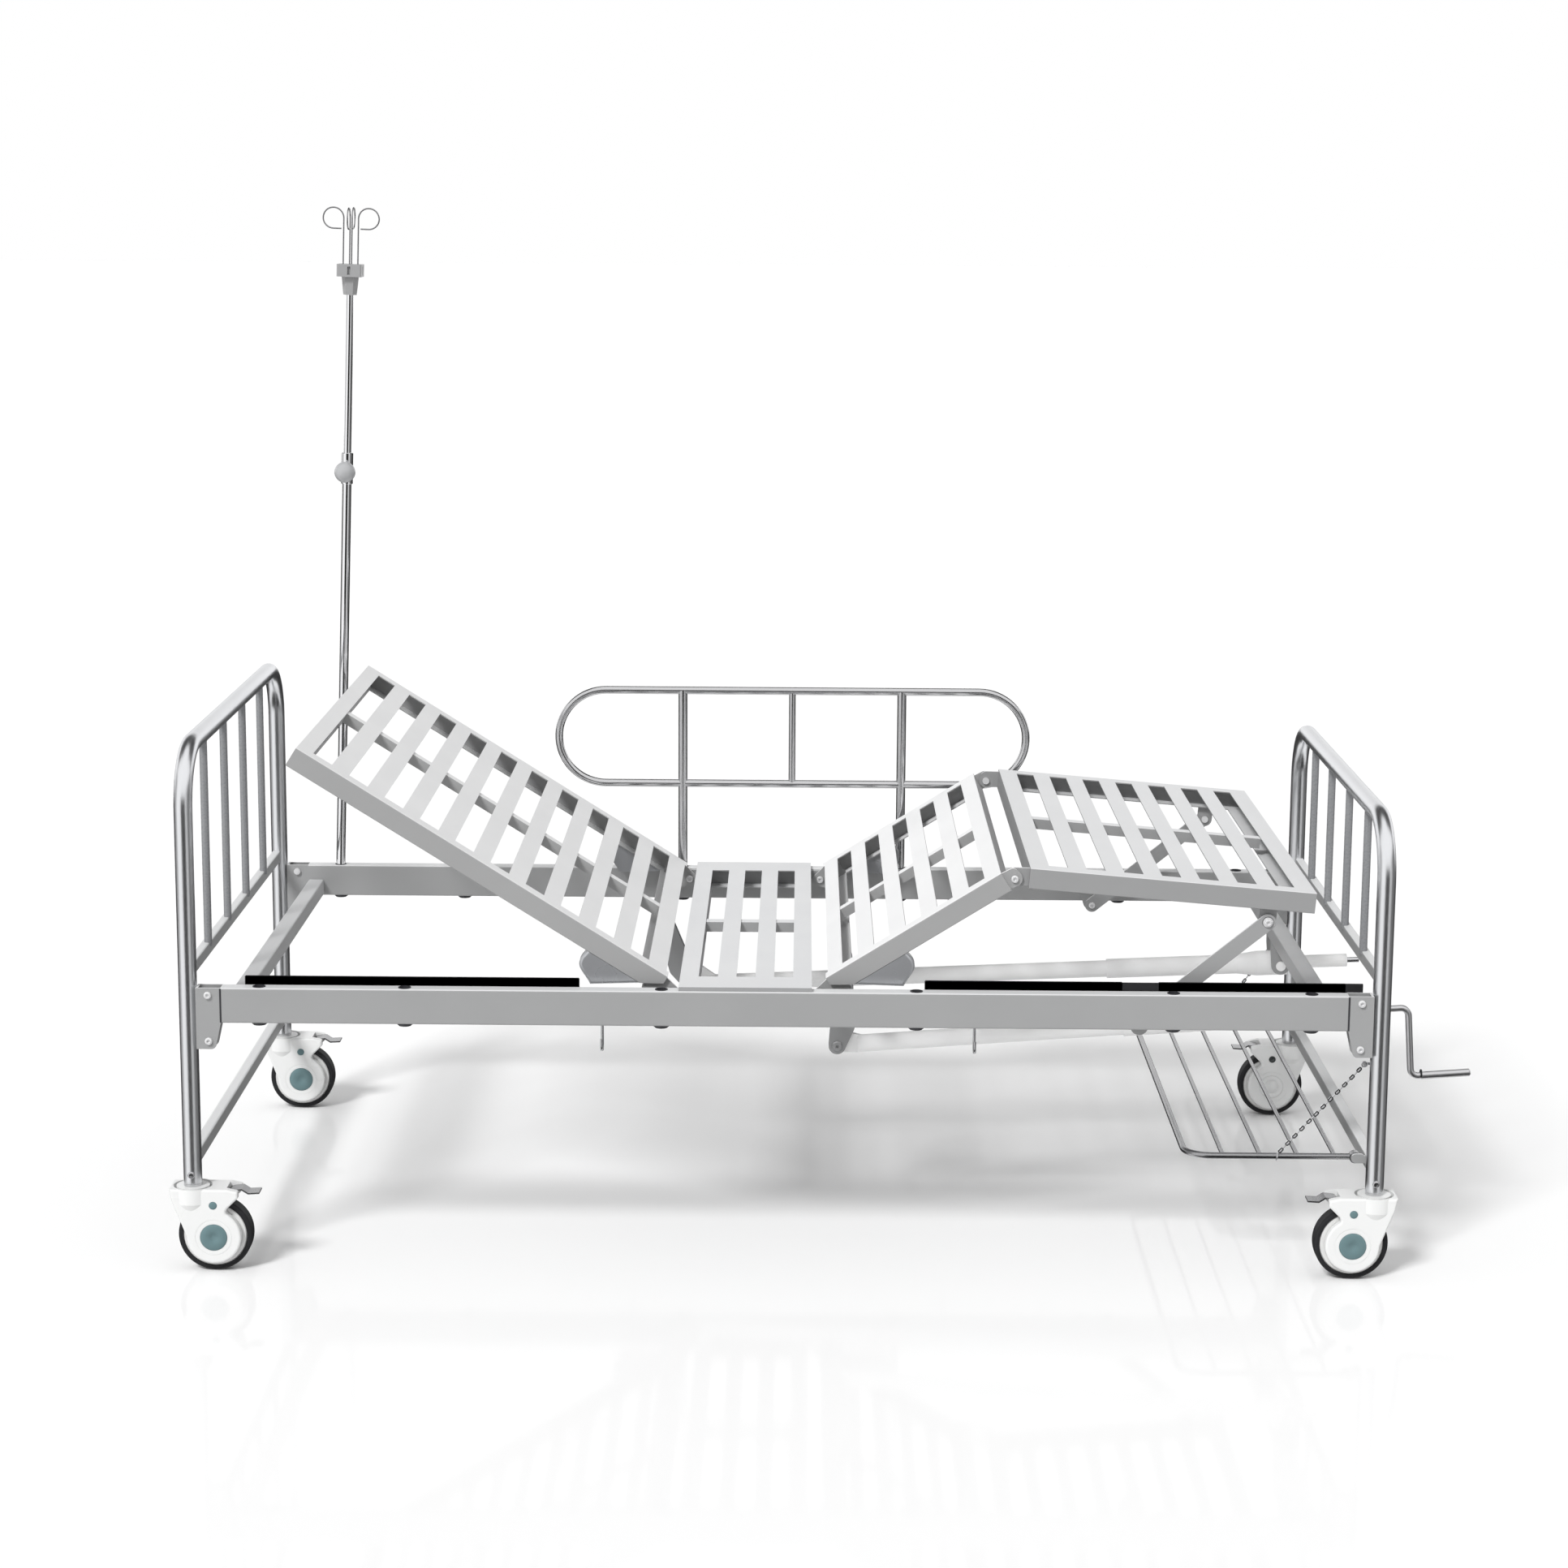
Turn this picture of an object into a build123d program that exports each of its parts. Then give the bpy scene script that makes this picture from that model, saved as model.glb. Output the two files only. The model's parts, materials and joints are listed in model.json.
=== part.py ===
from build123d import *
import math
import os

# Hospital bed with two cranks. Millimetres. X runs from the head to the foot, Y across the bed, Z up.
# The plan is laid out from the middle of the four posts; save() moves it so that the origin is the
# middle of the whole object on the floor.

# End boards and posts
post_span = 2000.0        # head posts to foot posts
post_inset = 3.0          # how far the post axes stand inside the middle of the beams
post_r = 15.5
post_wall = 1.5
post_foot_z = 151.0       # lower end of every post
head_top_z = 890.0        # middle of the head rail
foot_top_z = 783.5        # middle of the foot rail
arch_bend = 100.0         # bend radius of the end boards
bar_r = 6.75
bar_count = 4
bar_wall = 1.5
board_rail_z = 510.5
board_rail_w = 16.0
board_rail_h = 22.0
board_rail_shift = 4.5    # the lower rails stand this far outside the plane of the bars
bar_overlap = 6.5         # how far the bars run down past the top of their lower rail
stretcher_z = 190.0
stretcher_w = 20.0
stretcher_h = 25.0

# Side beams
beam_w = 30.0
beam_h = 60.0
beam_wall = 2.0
beam_top_z = 493.0
deck_beam_gap = 16.0      # between the deck and a beam
beam_gap = 57.0           # post axis to beam end
bracket_drop = 45.0       # how far an end bracket hangs below its beam
bracket_t = 4.0
bracket_bolt_gap = 36.0   # post axis to bracket bolts
cross_w = 30.0            # cross members between the beams
cross_head_x = -927.0
cross_foot_x = 917.0
seat_gap = 0.5            # between a resting deck and its cross member

# Sockets through the beams for the guard rail and the infusion pole
plug_r = 8.75             # tubes that go into the sockets
running = 0.06            # radial clearance of a running fit
bush_fit = 0.1            # radial clearance between a bush and its beam
socket_ring_r = 13.0
socket_ring_h = 3.0
socket_ring_drop = 5.0
pole_socket_x = -880.0
rail_left_socket_x = -206.0
rail_right_socket_x = 221.0
spare_socket_xs = (-636.0, 651.0, 882.0)
plug_gap = 4.0            # lower end of a plug above the underside of its beam

# Deck sections, each drawn flat with its hinge pin at the origin
hinge_z = 478.0
deck_rise = 22.0          # deck top above the hinge pins
deck_half = 466.0         # half of the deck's width
side_w = 34.0             # width of the side channels
side_d = 35.0             # depth of the side channels
sheet = 2.0
side_round = 1.8          # rounding of the long outer edges
side_start = 20.0         # hinge pin to the side channels of the back and the thigh
corner_cut = (55.0, 8.0)  # their lower corners are cut off between these two distances
slat_w = 31.5
slot_w = 30.5
back_slat_w = 33.0
back_slot_w = 36.5
spine_w = 25.0
spine_d = 18.0
back_hinge_x = -191.0
thigh_hinge_x = 64.0
deck_start = 24.0         # hinge pin to the first edge of a deck
back_length = 749.0
thigh_length = 378.0      # hinge pin to knee pin
knee_setback = 14.5       # thigh deck ends this far before the knee pin
leg_length = 505.0
back_angle = 32.0         # rest pose, degrees above flat
thigh_angle = 32.0
leg_angle = -4.7
back_plates = (35.0, 28.0)
thigh_plates = (29.0, 30.0)
leg_plates = (33.0, 33.0)
back_lift = (-32.0, 43.0)  # travel from the rest pose
thigh_lift = (-32.0, 10.0)

# Hinge ears, pins and bolts
ear_t = 5.0
ear_r = 13.0
ear_inset = 8.0           # ears stand this far inside the outer faces of the side channels
thigh_ear = ((-22.0, 16.0, 4.0), (-22.0, -6.0, 4.0), (2.0, 9.0, 9.0))  # discs from the knee pin
leg_ear = ((32.0, 16.0, 4.0), (32.0, -6.0, 4.0), (0.0, 7.0, 11.0))
layer_gap = 1.0           # between plates that turn against each other
hinge_pin_r = 6.0
bolt_r = 5.0
bolt_head_r = 9.0
bolt_head_h = 5.0
bolt_socket_r = 3.2
hinge_plate_t = 4.0
hinge_plate_w = 44.0
hinge_plate_low = 457.0
hinge_plate_round = 5.0
drive_tube = (30.0, -28.0)  # cross tube that carries a lever, from the hinge pin
drive_tube_r = 12.5

# Covers under the hinge end of the back and the thigh
guard_w = 26.0
guard_round = 5.0
guard_top = (54.0, 158.0) # ends of the top edge, from the hinge pin
guard_nose = ((160.5, 12.0), (160.3, 20.0), (157.5, 27.0), (149.0, 34.0), (135.0, 40.5), (123.7, 46.6))

# Struts that carry the leg section
strut_pin = (431.0, -37.0)  # from the knee pin, leg section flat
strut_reach = 262.0       # foot of the strut, measured square to the line between both top positions
strut_w = 27.0
strut_t = 5.0
strut_slack = 4.6         # the strut's upper eye is open by this much
tab_w = 28.0
tab_t = 6.0

# Screw jacks
jack_y = 165.0
jack_head_x = 923.0
back_jack_z = 388.0       # height of the jack heads
knee_jack_z = 373.0
back_lever_pin = (14.0, -139.0)   # from the hinge pin, rest pose
thigh_lever_pin = (29.0, -167.0)
screw_lead = 5.0          # travel per turn
screw_r = 6.5
screw_end = 400.0         # inner end of the screw from the jack head
screw_collar = (60.3, 66.0, 14.8)  # thrust collar: both faces and radius
push_r = 15.5
push_wall = 3.8
push_start = 152.0        # inner end of the push tube from the jack head
nut_length = 30.0
sleeve_r = 18.0
sleeve_end = 322.0
flare_r = 23.0
neck_r = 12.0
neck_end = 127.0
stub_r = 6.0
lever_t = 5.0
lever_eye_r = 15.0
lever_waist = (38.0, 9.0, 19.5)  # disc that widens a lever: along it from its bolt, sideways, radius
lug_t = 10.0
lug_edge = 6.0            # material round the slot
lever_slack = 0.6         # between the lever bolt and the slot of the push tube

# Crank
crank_r = 5.9
crank_elbow = 184.5       # jack head to the elbow
crank_throw = 126.0
crank_bend = 14.0
grip_r = 6.8
grip_start = 203.0
grip_end = 290.0
drive_stub = 150.0
drive_stub_r = 5.0

# Guard rail
rail_tube_r = 7.5
rail_mid_r = 6.5
rail_low_z = 660.0
rail_high_z = 844.0
rail_left_x = -448.0
rail_right_x = 464.0

# Infusion pole
pole_lean = 1.95          # degrees, towards the foot
pole_bend_z = 500.0       # the pole leans from here up
pole_bend = 120.0
pole_upper_r = 7.25
pole_wall = 1.2
collar_r = 11.3
collar_low_z = 1243.0
collar_high_z = 1303.0
collar_grip = 14.0        # length of lower pole inside the collar
knob_z = 1268.0
knob_r = 20.0
knob_y = 32.0             # ball centre in front of the pole
knob_screw_r = 4.0
pole_low_end = 1000.0     # lower end of the sliding tube
head_low_z = 1604.0
head_mid_z = 1638.5
head_high_z = 1662.0
head_side = 47.0
hook_r = 1.4
hook_circle = 14.0        # wires around the pole's axis
hook_loop = 19.6
hook_loop_z = 1748.0

# Shelf under the foot end
shelf_z = 195.0
shelf_wire_r = 5.5
shelf_rod_r = 3.75
shelf_inset = 53.0        # post axis to the shelf's side wires
shelf_free_x = 686.0
shelf_pivot_x = 974.0
shelf_bend = 45.0
shelf_rods = 4
shelf_pin_r = 4.0
shelf_eye_half = 7.0
chain_wire_r = 1.2
chain_top_z = 371.0
chain_hook_x = 841.0
chain_links = 12
chain_ring_r = 4.4
chain_peg_r = 2.4
chain_ring_gap = 8.5      # middle of a chain's ring to its post
chain_eye_y = 9.0            # eye bolt beside the middle of its post

# Hooks under the beams and buffer strips
drain_xs = (-305.0, 319.0)
drain_r = 2.4
drain_drop = 42.0
drain_bend = 8.0
strip_w = 6.0
strip_low_z = 484.0
strip_high_z = 507.0
strip_runs = ((-905.0, -345.0), (236.0, 566.0), (628.0, 940.0))

# Casters
wheel_r = 62.5
tyre_depth = 8.5
wheel_w = 32.0
caster_trail = 38.0
axle_r = 6.0
house_half = 31.0
house_top_z = 146.0
cheek_r = 46.0
cup_r = 36.0
cavity_gap = 4.0
stem_r = 8.0
plug_length = 60.0
stem_screw_z = 167.0
stem_screw_r = 3.0
pedal_pin_r = 3.0
pedal_pin = (68.0, 134.0)
pedal_half = 15.0
throat = (60.0, 90.0, 110.0, 160.0)  # opening for the pedal, from and to in x and z
cap_r = 23.3
dot_r = 7.0

# Worked out from the sizes above
post_x = post_span / 2
beam_y = deck_half + deck_beam_gap + beam_w / 2
post_y = beam_y - post_inset
shelf_half = post_y - shelf_inset
socket_xs = (pole_socket_x, rail_left_socket_x, rail_right_socket_x) + spare_socket_xs
beam_end_x = post_x - beam_gap
beam_low_z = beam_top_z - beam_h
beam_inner = beam_y - beam_w / 2
beam_outer = beam_y + beam_w / 2
deck_z = hinge_z + deck_rise
deck_low = deck_rise - side_d
ear_outer = deck_half - ear_inset
ear_inner = ear_outer - ear_t
knee_ear_outer = ear_inner - layer_gap / 2
knee_ear_inner = knee_ear_outer - ear_t
tab_outer = knee_ear_inner + layer_gap
tab_inner = tab_outer - tab_t
strut_inner = tab_outer + layer_gap
strut_outer = strut_inner + strut_t
bolt_seat = 0.4           # between a bolt head and the plate that turns under it
face_gap = 0.3            # between fixed and turning faces


def block(x0, x1, y0, y1, z0, z1):
    middle = Pos((x0 + x1) / 2, (y0 + y1) / 2, (z0 + z1) / 2)
    return middle * Box(abs(x1 - x0), abs(y1 - y0), abs(z1 - z0))


def rod(start, end, radius):
    line = Vector(*end) - Vector(*start)
    return extrude(Plane(origin=start, z_dir=line) * Circle(radius), line.length)


def tube(start, end, radius, wall):
    return rod(start, end, radius) - rod(start, end, radius - wall)


def bent_wire(points, radius, bend):
    path = FilletPolyline(*points, radius=bend)
    return sweep(Plane(origin=path @ 0, z_dir=path % 0) * Circle(radius), path)


def plate(discs, y0, y1):
    """A flat plate whose outline is drawn tightly round discs given as x, z, radius."""
    edges = [edge for x, z, r in discs for edge in (Pos(x, z) * Circle(r)).edges()]
    return slab(make_hull(edges), y0, y1)


def slab(outline, y0, y1):
    """An outline drawn in x and z, made solid from y0 to y1."""
    face = Plane(origin=(0, max(y0, y1), 0), x_dir=(1, 0, 0), z_dir=(0, -1, 0))
    return extrude(face * outline, abs(y1 - y0), dir=(0, -1, 0))


def pin_hole(x, z, radius, y0, y1):
    return rod((x, y0, z), (x, y1, z), radius)


def other_side(shape):
    return mirror(shape, about=Plane.XZ)


def both_sides(shape):
    return [shape, other_side(shape)]


def bolt(seat, tip, radius, head_r, head_h):
    """A button-head bolt: the shank runs from seat to tip and the head stands behind the seat."""
    line = (Vector(*tip) - Vector(*seat)).normalized()
    back = Vector(*seat) - line * head_h
    plane = Plane(origin=back, z_dir=line)
    head = fillet(extrude(plane * Circle(head_r), head_h).edges().sort_by(lambda e: (e.center() - back).length)[0],
                  head_h * 0.7)
    drive = extrude(plane * RegularPolygon(bolt_socket_r, 6), head_h * 0.6)
    return head - drive + rod(seat, tip, radius)


def solids_of(shapes):
    return [solid for shape in shapes for solid in shape.solids()]


def turn_flat_to(shape, pin_x, pin_z, angle):
    """Places a section drawn flat: its pin goes to pin_x, pin_z and its free end rises by angle."""
    return Pos(pin_x, 0, pin_z) * Rot(0, -angle, 0) * shape


# ---------------------------------------------------------------- end boards

def end_arch(x, top_z):
    corners = [(x, -post_y, post_foot_z), (x, -post_y, top_z), (x, post_y, top_z), (x, post_y, post_foot_z)]
    arch = bent_wire(corners, post_r, arch_bend) - bent_wire(corners, post_r - post_wall, arch_bend)
    for side in (-1, 1):
        edge = side * (post_y + post_r)
        arch = arch - rod((x, edge + side, stem_screw_z), (x, edge - side * 3, stem_screw_z), stem_screw_r)
    return arch


def end_posts(x, top_z):
    return [rod((x, side * post_y, post_foot_z), (x, side * post_y, top_z), post_r) for side in (-1, 1)]


def cross_tube(x, z, width, height, wall):
    tube_part = block(x - width / 2, x + width / 2, -post_y, post_y, z - height / 2, z + height / 2)
    tube_part = fillet(tube_part.edges().filter_by(Axis.Y), 2 * wall)
    return tube_part - block(x - width / 2 + wall, x + width / 2 - wall, -post_y, post_y,
                             z - height / 2 + wall, z + height / 2 - wall)


def lower_rail(side_x):
    """Rail of an end board that carries the lower ends of the bars."""
    rail = cross_tube(side_x * (post_x + board_rail_shift), board_rail_z, board_rail_w, board_rail_h, bar_wall)
    posts = end_posts(side_x * post_x, head_top_z)
    return rail - posts[0] - posts[1]


def stretcher(side_x):
    bar = cross_tube(side_x * post_x, stretcher_z, stretcher_w, stretcher_h, sheet)
    posts = end_posts(side_x * post_x, head_top_z)
    return bar - posts[0] - posts[1]


def board_bars(side_x, top_z):
    x = side_x * post_x
    step = 2 * post_y / (bar_count + 1)
    low = board_rail_z + board_rail_h / 2
    rail_x = side_x * (post_x + board_rail_shift)
    seat = block(rail_x - board_rail_w / 2, rail_x + board_rail_w / 2, -post_y, post_y, low - board_rail_h, low)
    rail = rod((x, -post_y, top_z), (x, post_y, top_z), post_r)
    ys = [-post_y + step * (n + 1) for n in range(bar_count)]
    return [rod((x, y, low - bar_overlap), (x, y, top_z), bar_r) - rail - seat for y in ys]


# ---------------------------------------------------------------- fixed frame

def side_beam():
    beam = block(-beam_end_x, beam_end_x, -beam_outer, -beam_inner, beam_low_z, beam_top_z)
    beam = fillet(beam.edges().filter_by(Axis.X), 3)
    hollow = block(-beam_end_x, beam_end_x, -beam_outer + beam_wall, -beam_inner - beam_wall,
                   beam_low_z + beam_wall, beam_top_z - beam_wall)
    beam = beam - hollow
    for x in socket_xs:
        beam = beam - rod((x, -beam_y, beam_low_z - 1), (x, -beam_y, beam_top_z + 1), plug_r + sheet + bush_fit)
    return beam


def socket_liner(x):
    """A bush through the beam with a thin ring above and a rounded foot below."""
    outer_r = plug_r + sheet
    sleeve = rod((x, -beam_y, beam_low_z - socket_ring_drop), (x, -beam_y, beam_top_z + 1), outer_r)
    foot = rod((x, -beam_y, beam_low_z - socket_ring_h), (x, -beam_y, beam_low_z), socket_ring_r)
    bore = rod((x, -beam_y, beam_low_z - socket_ring_drop), (x, -beam_y, beam_top_z + 1), plug_r + running)
    return sleeve + foot - bore


def end_bracket(side_x):
    """A folded channel that joins a beam end to its post."""
    web = side_x * (post_x - post_r)
    tip = side_x * beam_end_x
    low = beam_low_z - bracket_drop
    outline = Polygon((web, beam_top_z), (tip, beam_top_z), (tip, beam_low_z), (tip + side_x * 10, low),
                      (web, low), align=None)
    outline = fillet(outline.vertices().sort_by(Axis.Y)[:2].sort_by(lambda v: abs(v.X - tip))[0], 8)
    body = slab(outline, -beam_outer, -beam_inner)
    hollow = block(web - side_x * bracket_t, tip, -beam_outer + bracket_t, -beam_inner - bracket_t,
                   low - 1, beam_top_z + 1)
    body = body - hollow
    for z in bracket_bolt_zs():
        body = body - pin_hole(bracket_bolt_x(side_x), z, bolt_r + running, -beam_outer - 1, -beam_inner + 1)
    return body


def bracket_bolt_x(side_x):
    return side_x * (post_x - bracket_bolt_gap)


def bracket_bolt_zs():
    return beam_top_z - 12, beam_low_z - bracket_drop + 14


def bracket_bolts(side_x):
    x = bracket_bolt_x(side_x)
    bolts = []
    for z in bracket_bolt_zs():
        bolts.append(bolt((x, -beam_outer, z), (x, -beam_inner + 6, z), bolt_r, bolt_head_r, bolt_head_h))
        nut = rod((x, -beam_inner, z), (x, -beam_inner + 5, z), bolt_head_r) - pin_hole(x, z, bolt_r, -beam_outer, 0)
        bolts.append(nut)
    return bolts


def cross_member(x):
    top = hinge_z + deck_low - seat_gap
    bar = block(x - cross_w / 2, x + cross_w / 2, -beam_inner, beam_inner, top - cross_w, top)
    bar = fillet(bar.edges().filter_by(Axis.Y), 3)
    return bar - block(x - cross_w / 2 + sheet, x + cross_w / 2 - sheet, -beam_inner, beam_inner,
                       top - cross_w + sheet, top - sheet)


def hinge_plate(x):
    """Plate on the inner face of a beam that holds a section's hinge pin."""
    half = hinge_plate_w / 2
    shape = block(x - half, x + half, -beam_inner, -beam_inner + hinge_plate_t, hinge_plate_low, beam_top_z - 3)
    shape = fillet(shape.edges().filter_by(Axis.Y).sort_by(Axis.Z)[:2], hinge_plate_round)
    return shape - pin_hole(x, hinge_z, hinge_pin_r, -beam_inner - 1, 0)


def hinge_pin(x):
    """Pin from the plate through the section's ear, with a spacer outside and a head inside."""
    spacer_end = -ear_outer - bolt_seat
    spacer = rod((x, -beam_inner + hinge_plate_t, hinge_z), (x, spacer_end, hinge_z), hinge_pin_r + 4)
    head_seat = -ear_inner + bolt_seat
    pin = bolt((x, head_seat, hinge_z), (x, -beam_inner, hinge_z), hinge_pin_r, bolt_head_r + 1, bolt_head_h)
    return pin + spacer


def strut_foot():
    """Point that is equally far from both places of the strut's upper pin."""
    rest, flat = strut_top(thigh_angle, leg_angle), strut_top(0, 0)
    dx, dz = flat[0] - rest[0], flat[1] - rest[1]
    span = math.hypot(dx, dz)
    mid = ((rest[0] + flat[0]) / 2, (rest[1] + flat[1]) / 2)
    return mid[0] + strut_reach * dz / span, mid[1] - strut_reach * dx / span


def knee_at(angle):
    a = math.radians(angle)
    return thigh_hinge_x + thigh_length * math.cos(a), hinge_z + thigh_length * math.sin(a)


def strut_top(thigh, leg):
    kx, kz = knee_at(thigh)
    a = math.radians(leg)
    along, rise = strut_pin
    return kx + along * math.cos(a) - rise * math.sin(a), kz + along * math.sin(a) + rise * math.cos(a)


def strut_plate():
    x, z = strut_foot()
    low = plate([(x, z, 15), (x - 12, beam_low_z + 30, 12), (x + 12, beam_low_z + 30, 12)],
                -beam_inner, -beam_inner + hinge_plate_t)
    return low - pin_hole(x, z, bolt_r, -beam_inner - 1, 0)


def strut_foot_pin():
    x, z = strut_foot()
    spacer = rod((x, -beam_inner + hinge_plate_t, z), (x, -strut_outer - bolt_seat, z), bolt_r + 3)
    pin = bolt((x, -strut_inner + bolt_seat, z), (x, -beam_inner, z), bolt_r, bolt_head_r, bolt_head_h)
    return pin + spacer


def jack_plates(side, head_z):
    """Two plates under the foot cross member that hold the stub pins of a jack."""
    top = hinge_z + deck_low - seat_gap - cross_w
    plates = []
    for sign in (-1, 1):
        y0 = side * jack_y + sign * (flare_r + layer_gap)
        y1 = y0 + sign * lever_t
        hanger = plate([(jack_head_x, head_z, 17), (jack_head_x - 8, top - 12, 12),
                        (jack_head_x + 2, top - 12, 12)], y0, y1)
        hanger = hanger + block(jack_head_x - 20, jack_head_x + 14, y0, y1, top - 12, top)
        plates.append(hanger - pin_hole(jack_head_x, head_z, stub_r + running, y0 - 9, y0 + 9))
    return plates


def shelf_lug():
    """Lug on the foot stretcher with the pin that a shelf eye turns on."""
    x0, x1 = shelf_pivot_x, post_x - stretcher_w / 2
    y0 = -shelf_half - shelf_eye_half - layer_gap - lever_t
    lug = plate([(x0, shelf_z, 8), (x1 - 8, shelf_z, 8)], y0, y0 + lever_t)
    lug = lug + block(x1 - 8, x1, y0, y0 + lever_t, shelf_z - 8, shelf_z + 5)
    return lug + rod((x0, y0, shelf_z), (x0, -shelf_half + shelf_eye_half + 1, shelf_z), shelf_pin_r)


def drain_hook(x):
    """Small wire hook below a beam for a drainage bag."""
    low = beam_low_z - drain_drop
    points = [(x, -beam_y, beam_low_z), (x, -beam_y, low), (x, -beam_y - 2 * drain_bend - 1, low),
              (x, -beam_y - 2 * drain_bend - 1, low + 20)]
    return bent_wire(points, drain_r, drain_bend)


def buffer_strip(x0, x1):
    return block(x0, x1, -beam_inner, -beam_inner + strip_w, strip_low_z, strip_high_z)


# ---------------------------------------------------------------- deck sections

def side_channel(start, end):
    """Folded channel on the near side of a section, open towards the middle."""
    body = block(start, end, -deck_half, -deck_half + side_w, deck_low, deck_rise)
    body = fillet(body.edges().filter_by(Axis.X).sort_by(Axis.Y)[:2], side_round)
    return body - block(start + sheet, end - sheet, -deck_half + sheet, -deck_half + side_w,
                        deck_low + sheet, deck_rise - sheet)


def hinge_side(end):
    """Side channel of a section that turns on the frame, with its lower corner cut off."""
    along, height = corner_cut
    corner = Polygon((along, deck_low), (side_start, height), (side_start - 1, height),
                     (side_start - 1, deck_low - 1), (along, deck_low - 1), align=None)
    return side_channel(side_start, end) - slab(corner, -deck_half - 1, -deck_half + side_w + 1)


def end_channel(start, end, opens):
    """Folded channel across a section, open towards +X or -X."""
    half = deck_half - side_w
    body = block(start, end, -half, half, deck_low, deck_rise)
    x0, x1 = (start + sheet, end) if opens > 0 else (start, end - sheet)
    return body - block(x0, x1, -half, half, deck_low + sheet, deck_rise - sheet)


def deck_spine(start, end):
    return block(start, end, -spine_w / 2, spine_w / 2, deck_rise - sheet - spine_d, deck_rise - sheet)


def slot_count(start, end, plates, slot, slat):
    return max(1, round((end - start - plates[0] - plates[1] + slat) / (slot + slat)))


def deck_slats(start, end, plates, slot, slat):
    """Flat slats between the end channels; their own width takes up the rounding of the count."""
    low, high = start + plates[0], end - plates[1]
    count = slot_count(start, end, plates, slot, slat)
    pitch = (high - low + slat) / count
    half = deck_half - side_w
    return [block(low + pitch * n - slat, low + pitch * n, -half, half, deck_rise - sheet, deck_rise)
            for n in range(1, count)]


def hinge_ear(start, low_disc):
    """Ear from the side channel to the hinge pin, with a lobe down to the drive tube."""
    discs = [(0, 0, ear_r), (start + 12, deck_rise - ear_r - sheet / 2, ear_r), low_disc]
    ear = plate(discs, -ear_outer, -ear_inner)
    return ear - pin_hole(0, 0, hinge_pin_r + running, -ear_outer - 1, 0)


def knee_ear(discs, outer, inner, bore):
    return plate(((0, 0, ear_r),) + discs, -outer, -inner) - pin_hole(0, 0, bore, -outer - 1, 0)


def drive_lobe():
    return drive_tube[0], drive_tube[1], drive_tube_r + 3


def section_frame(start, end, plates, near_ears):
    sides = []
    for shape in near_ears:
        sides = sides + both_sides(shape)
    return sides + [end_channel(start, start + plates[0], 1), end_channel(end - plates[1], end, -1),
                    deck_spine(start + plates[0], end - plates[1])]


def back_frame():
    side = hinge_side(back_length) + hinge_ear(deck_start, drive_lobe())
    return section_frame(deck_start, back_length, back_plates, [side])


def thigh_frame():
    end = thigh_length - knee_setback
    knee = Pos(thigh_length, 0, 0) * knee_ear(thigh_ear, ear_outer, ear_inner, bolt_r + running)
    side = hinge_side(end) + hinge_ear(deck_start, drive_lobe()) + knee
    return section_frame(deck_start, end, thigh_plates, [side])


def strut_tab():
    x, z = strut_pin
    half = tab_w / 2
    tab = plate([(x, z, half), (x, deck_low - half + sheet, half)], -tab_outer, -tab_inner)
    tab = tab + block(x - half, x + half, -tab_outer, -tab_inner, z, deck_low + sheet)
    return tab - pin_hole(x, z, bolt_r, -tab_outer - 1, 0)


def leg_frame():
    ear = knee_ear(leg_ear, knee_ear_outer, knee_ear_inner, bolt_r)
    side = side_channel(deck_start, leg_length) + ear + strut_tab()
    return section_frame(deck_start, leg_length, leg_plates, [side])


def knee_bolt():
    inner_nut = rod((0, -knee_ear_inner, 0), (0, -knee_ear_inner + bolt_head_h, 0), bolt_head_r)
    shank = bolt((0, -ear_outer - bolt_seat, 0), (0, -knee_ear_inner, 0), bolt_r, bolt_head_r, bolt_head_h)
    return shank + inner_nut


def strut_bolt():
    x, z = strut_pin
    seat = -strut_outer - bolt_seat
    washer = rod((x, seat, z), (x, seat - 1.2, z), strut_w / 2)
    shank = bolt((x, seat - 1.2, z), (x, -tab_inner, z), bolt_r, bolt_head_r, bolt_head_h)
    nut = rod((x, -tab_inner, z), (x, -tab_inner + bolt_head_h, z), bolt_head_r)
    return shank + washer + nut


def guard_cover():
    """Curved cover below the side channel next to the hinge."""
    near, far = ((x, deck_low) for x in guard_top)
    points = [far] + [(x, deck_low - drop) for x, drop in guard_nose]
    outline = make_face(Curve() + [Line(near, far), Spline(*points), Line(points[-1], near)])
    body = slab(outline, -deck_half, -deck_half + guard_w)
    outer = body.faces().sort_by(Axis.Y)[0]
    return fillet(outer.edges().sort_by(Axis.Z)[:-1], guard_round)


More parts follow.
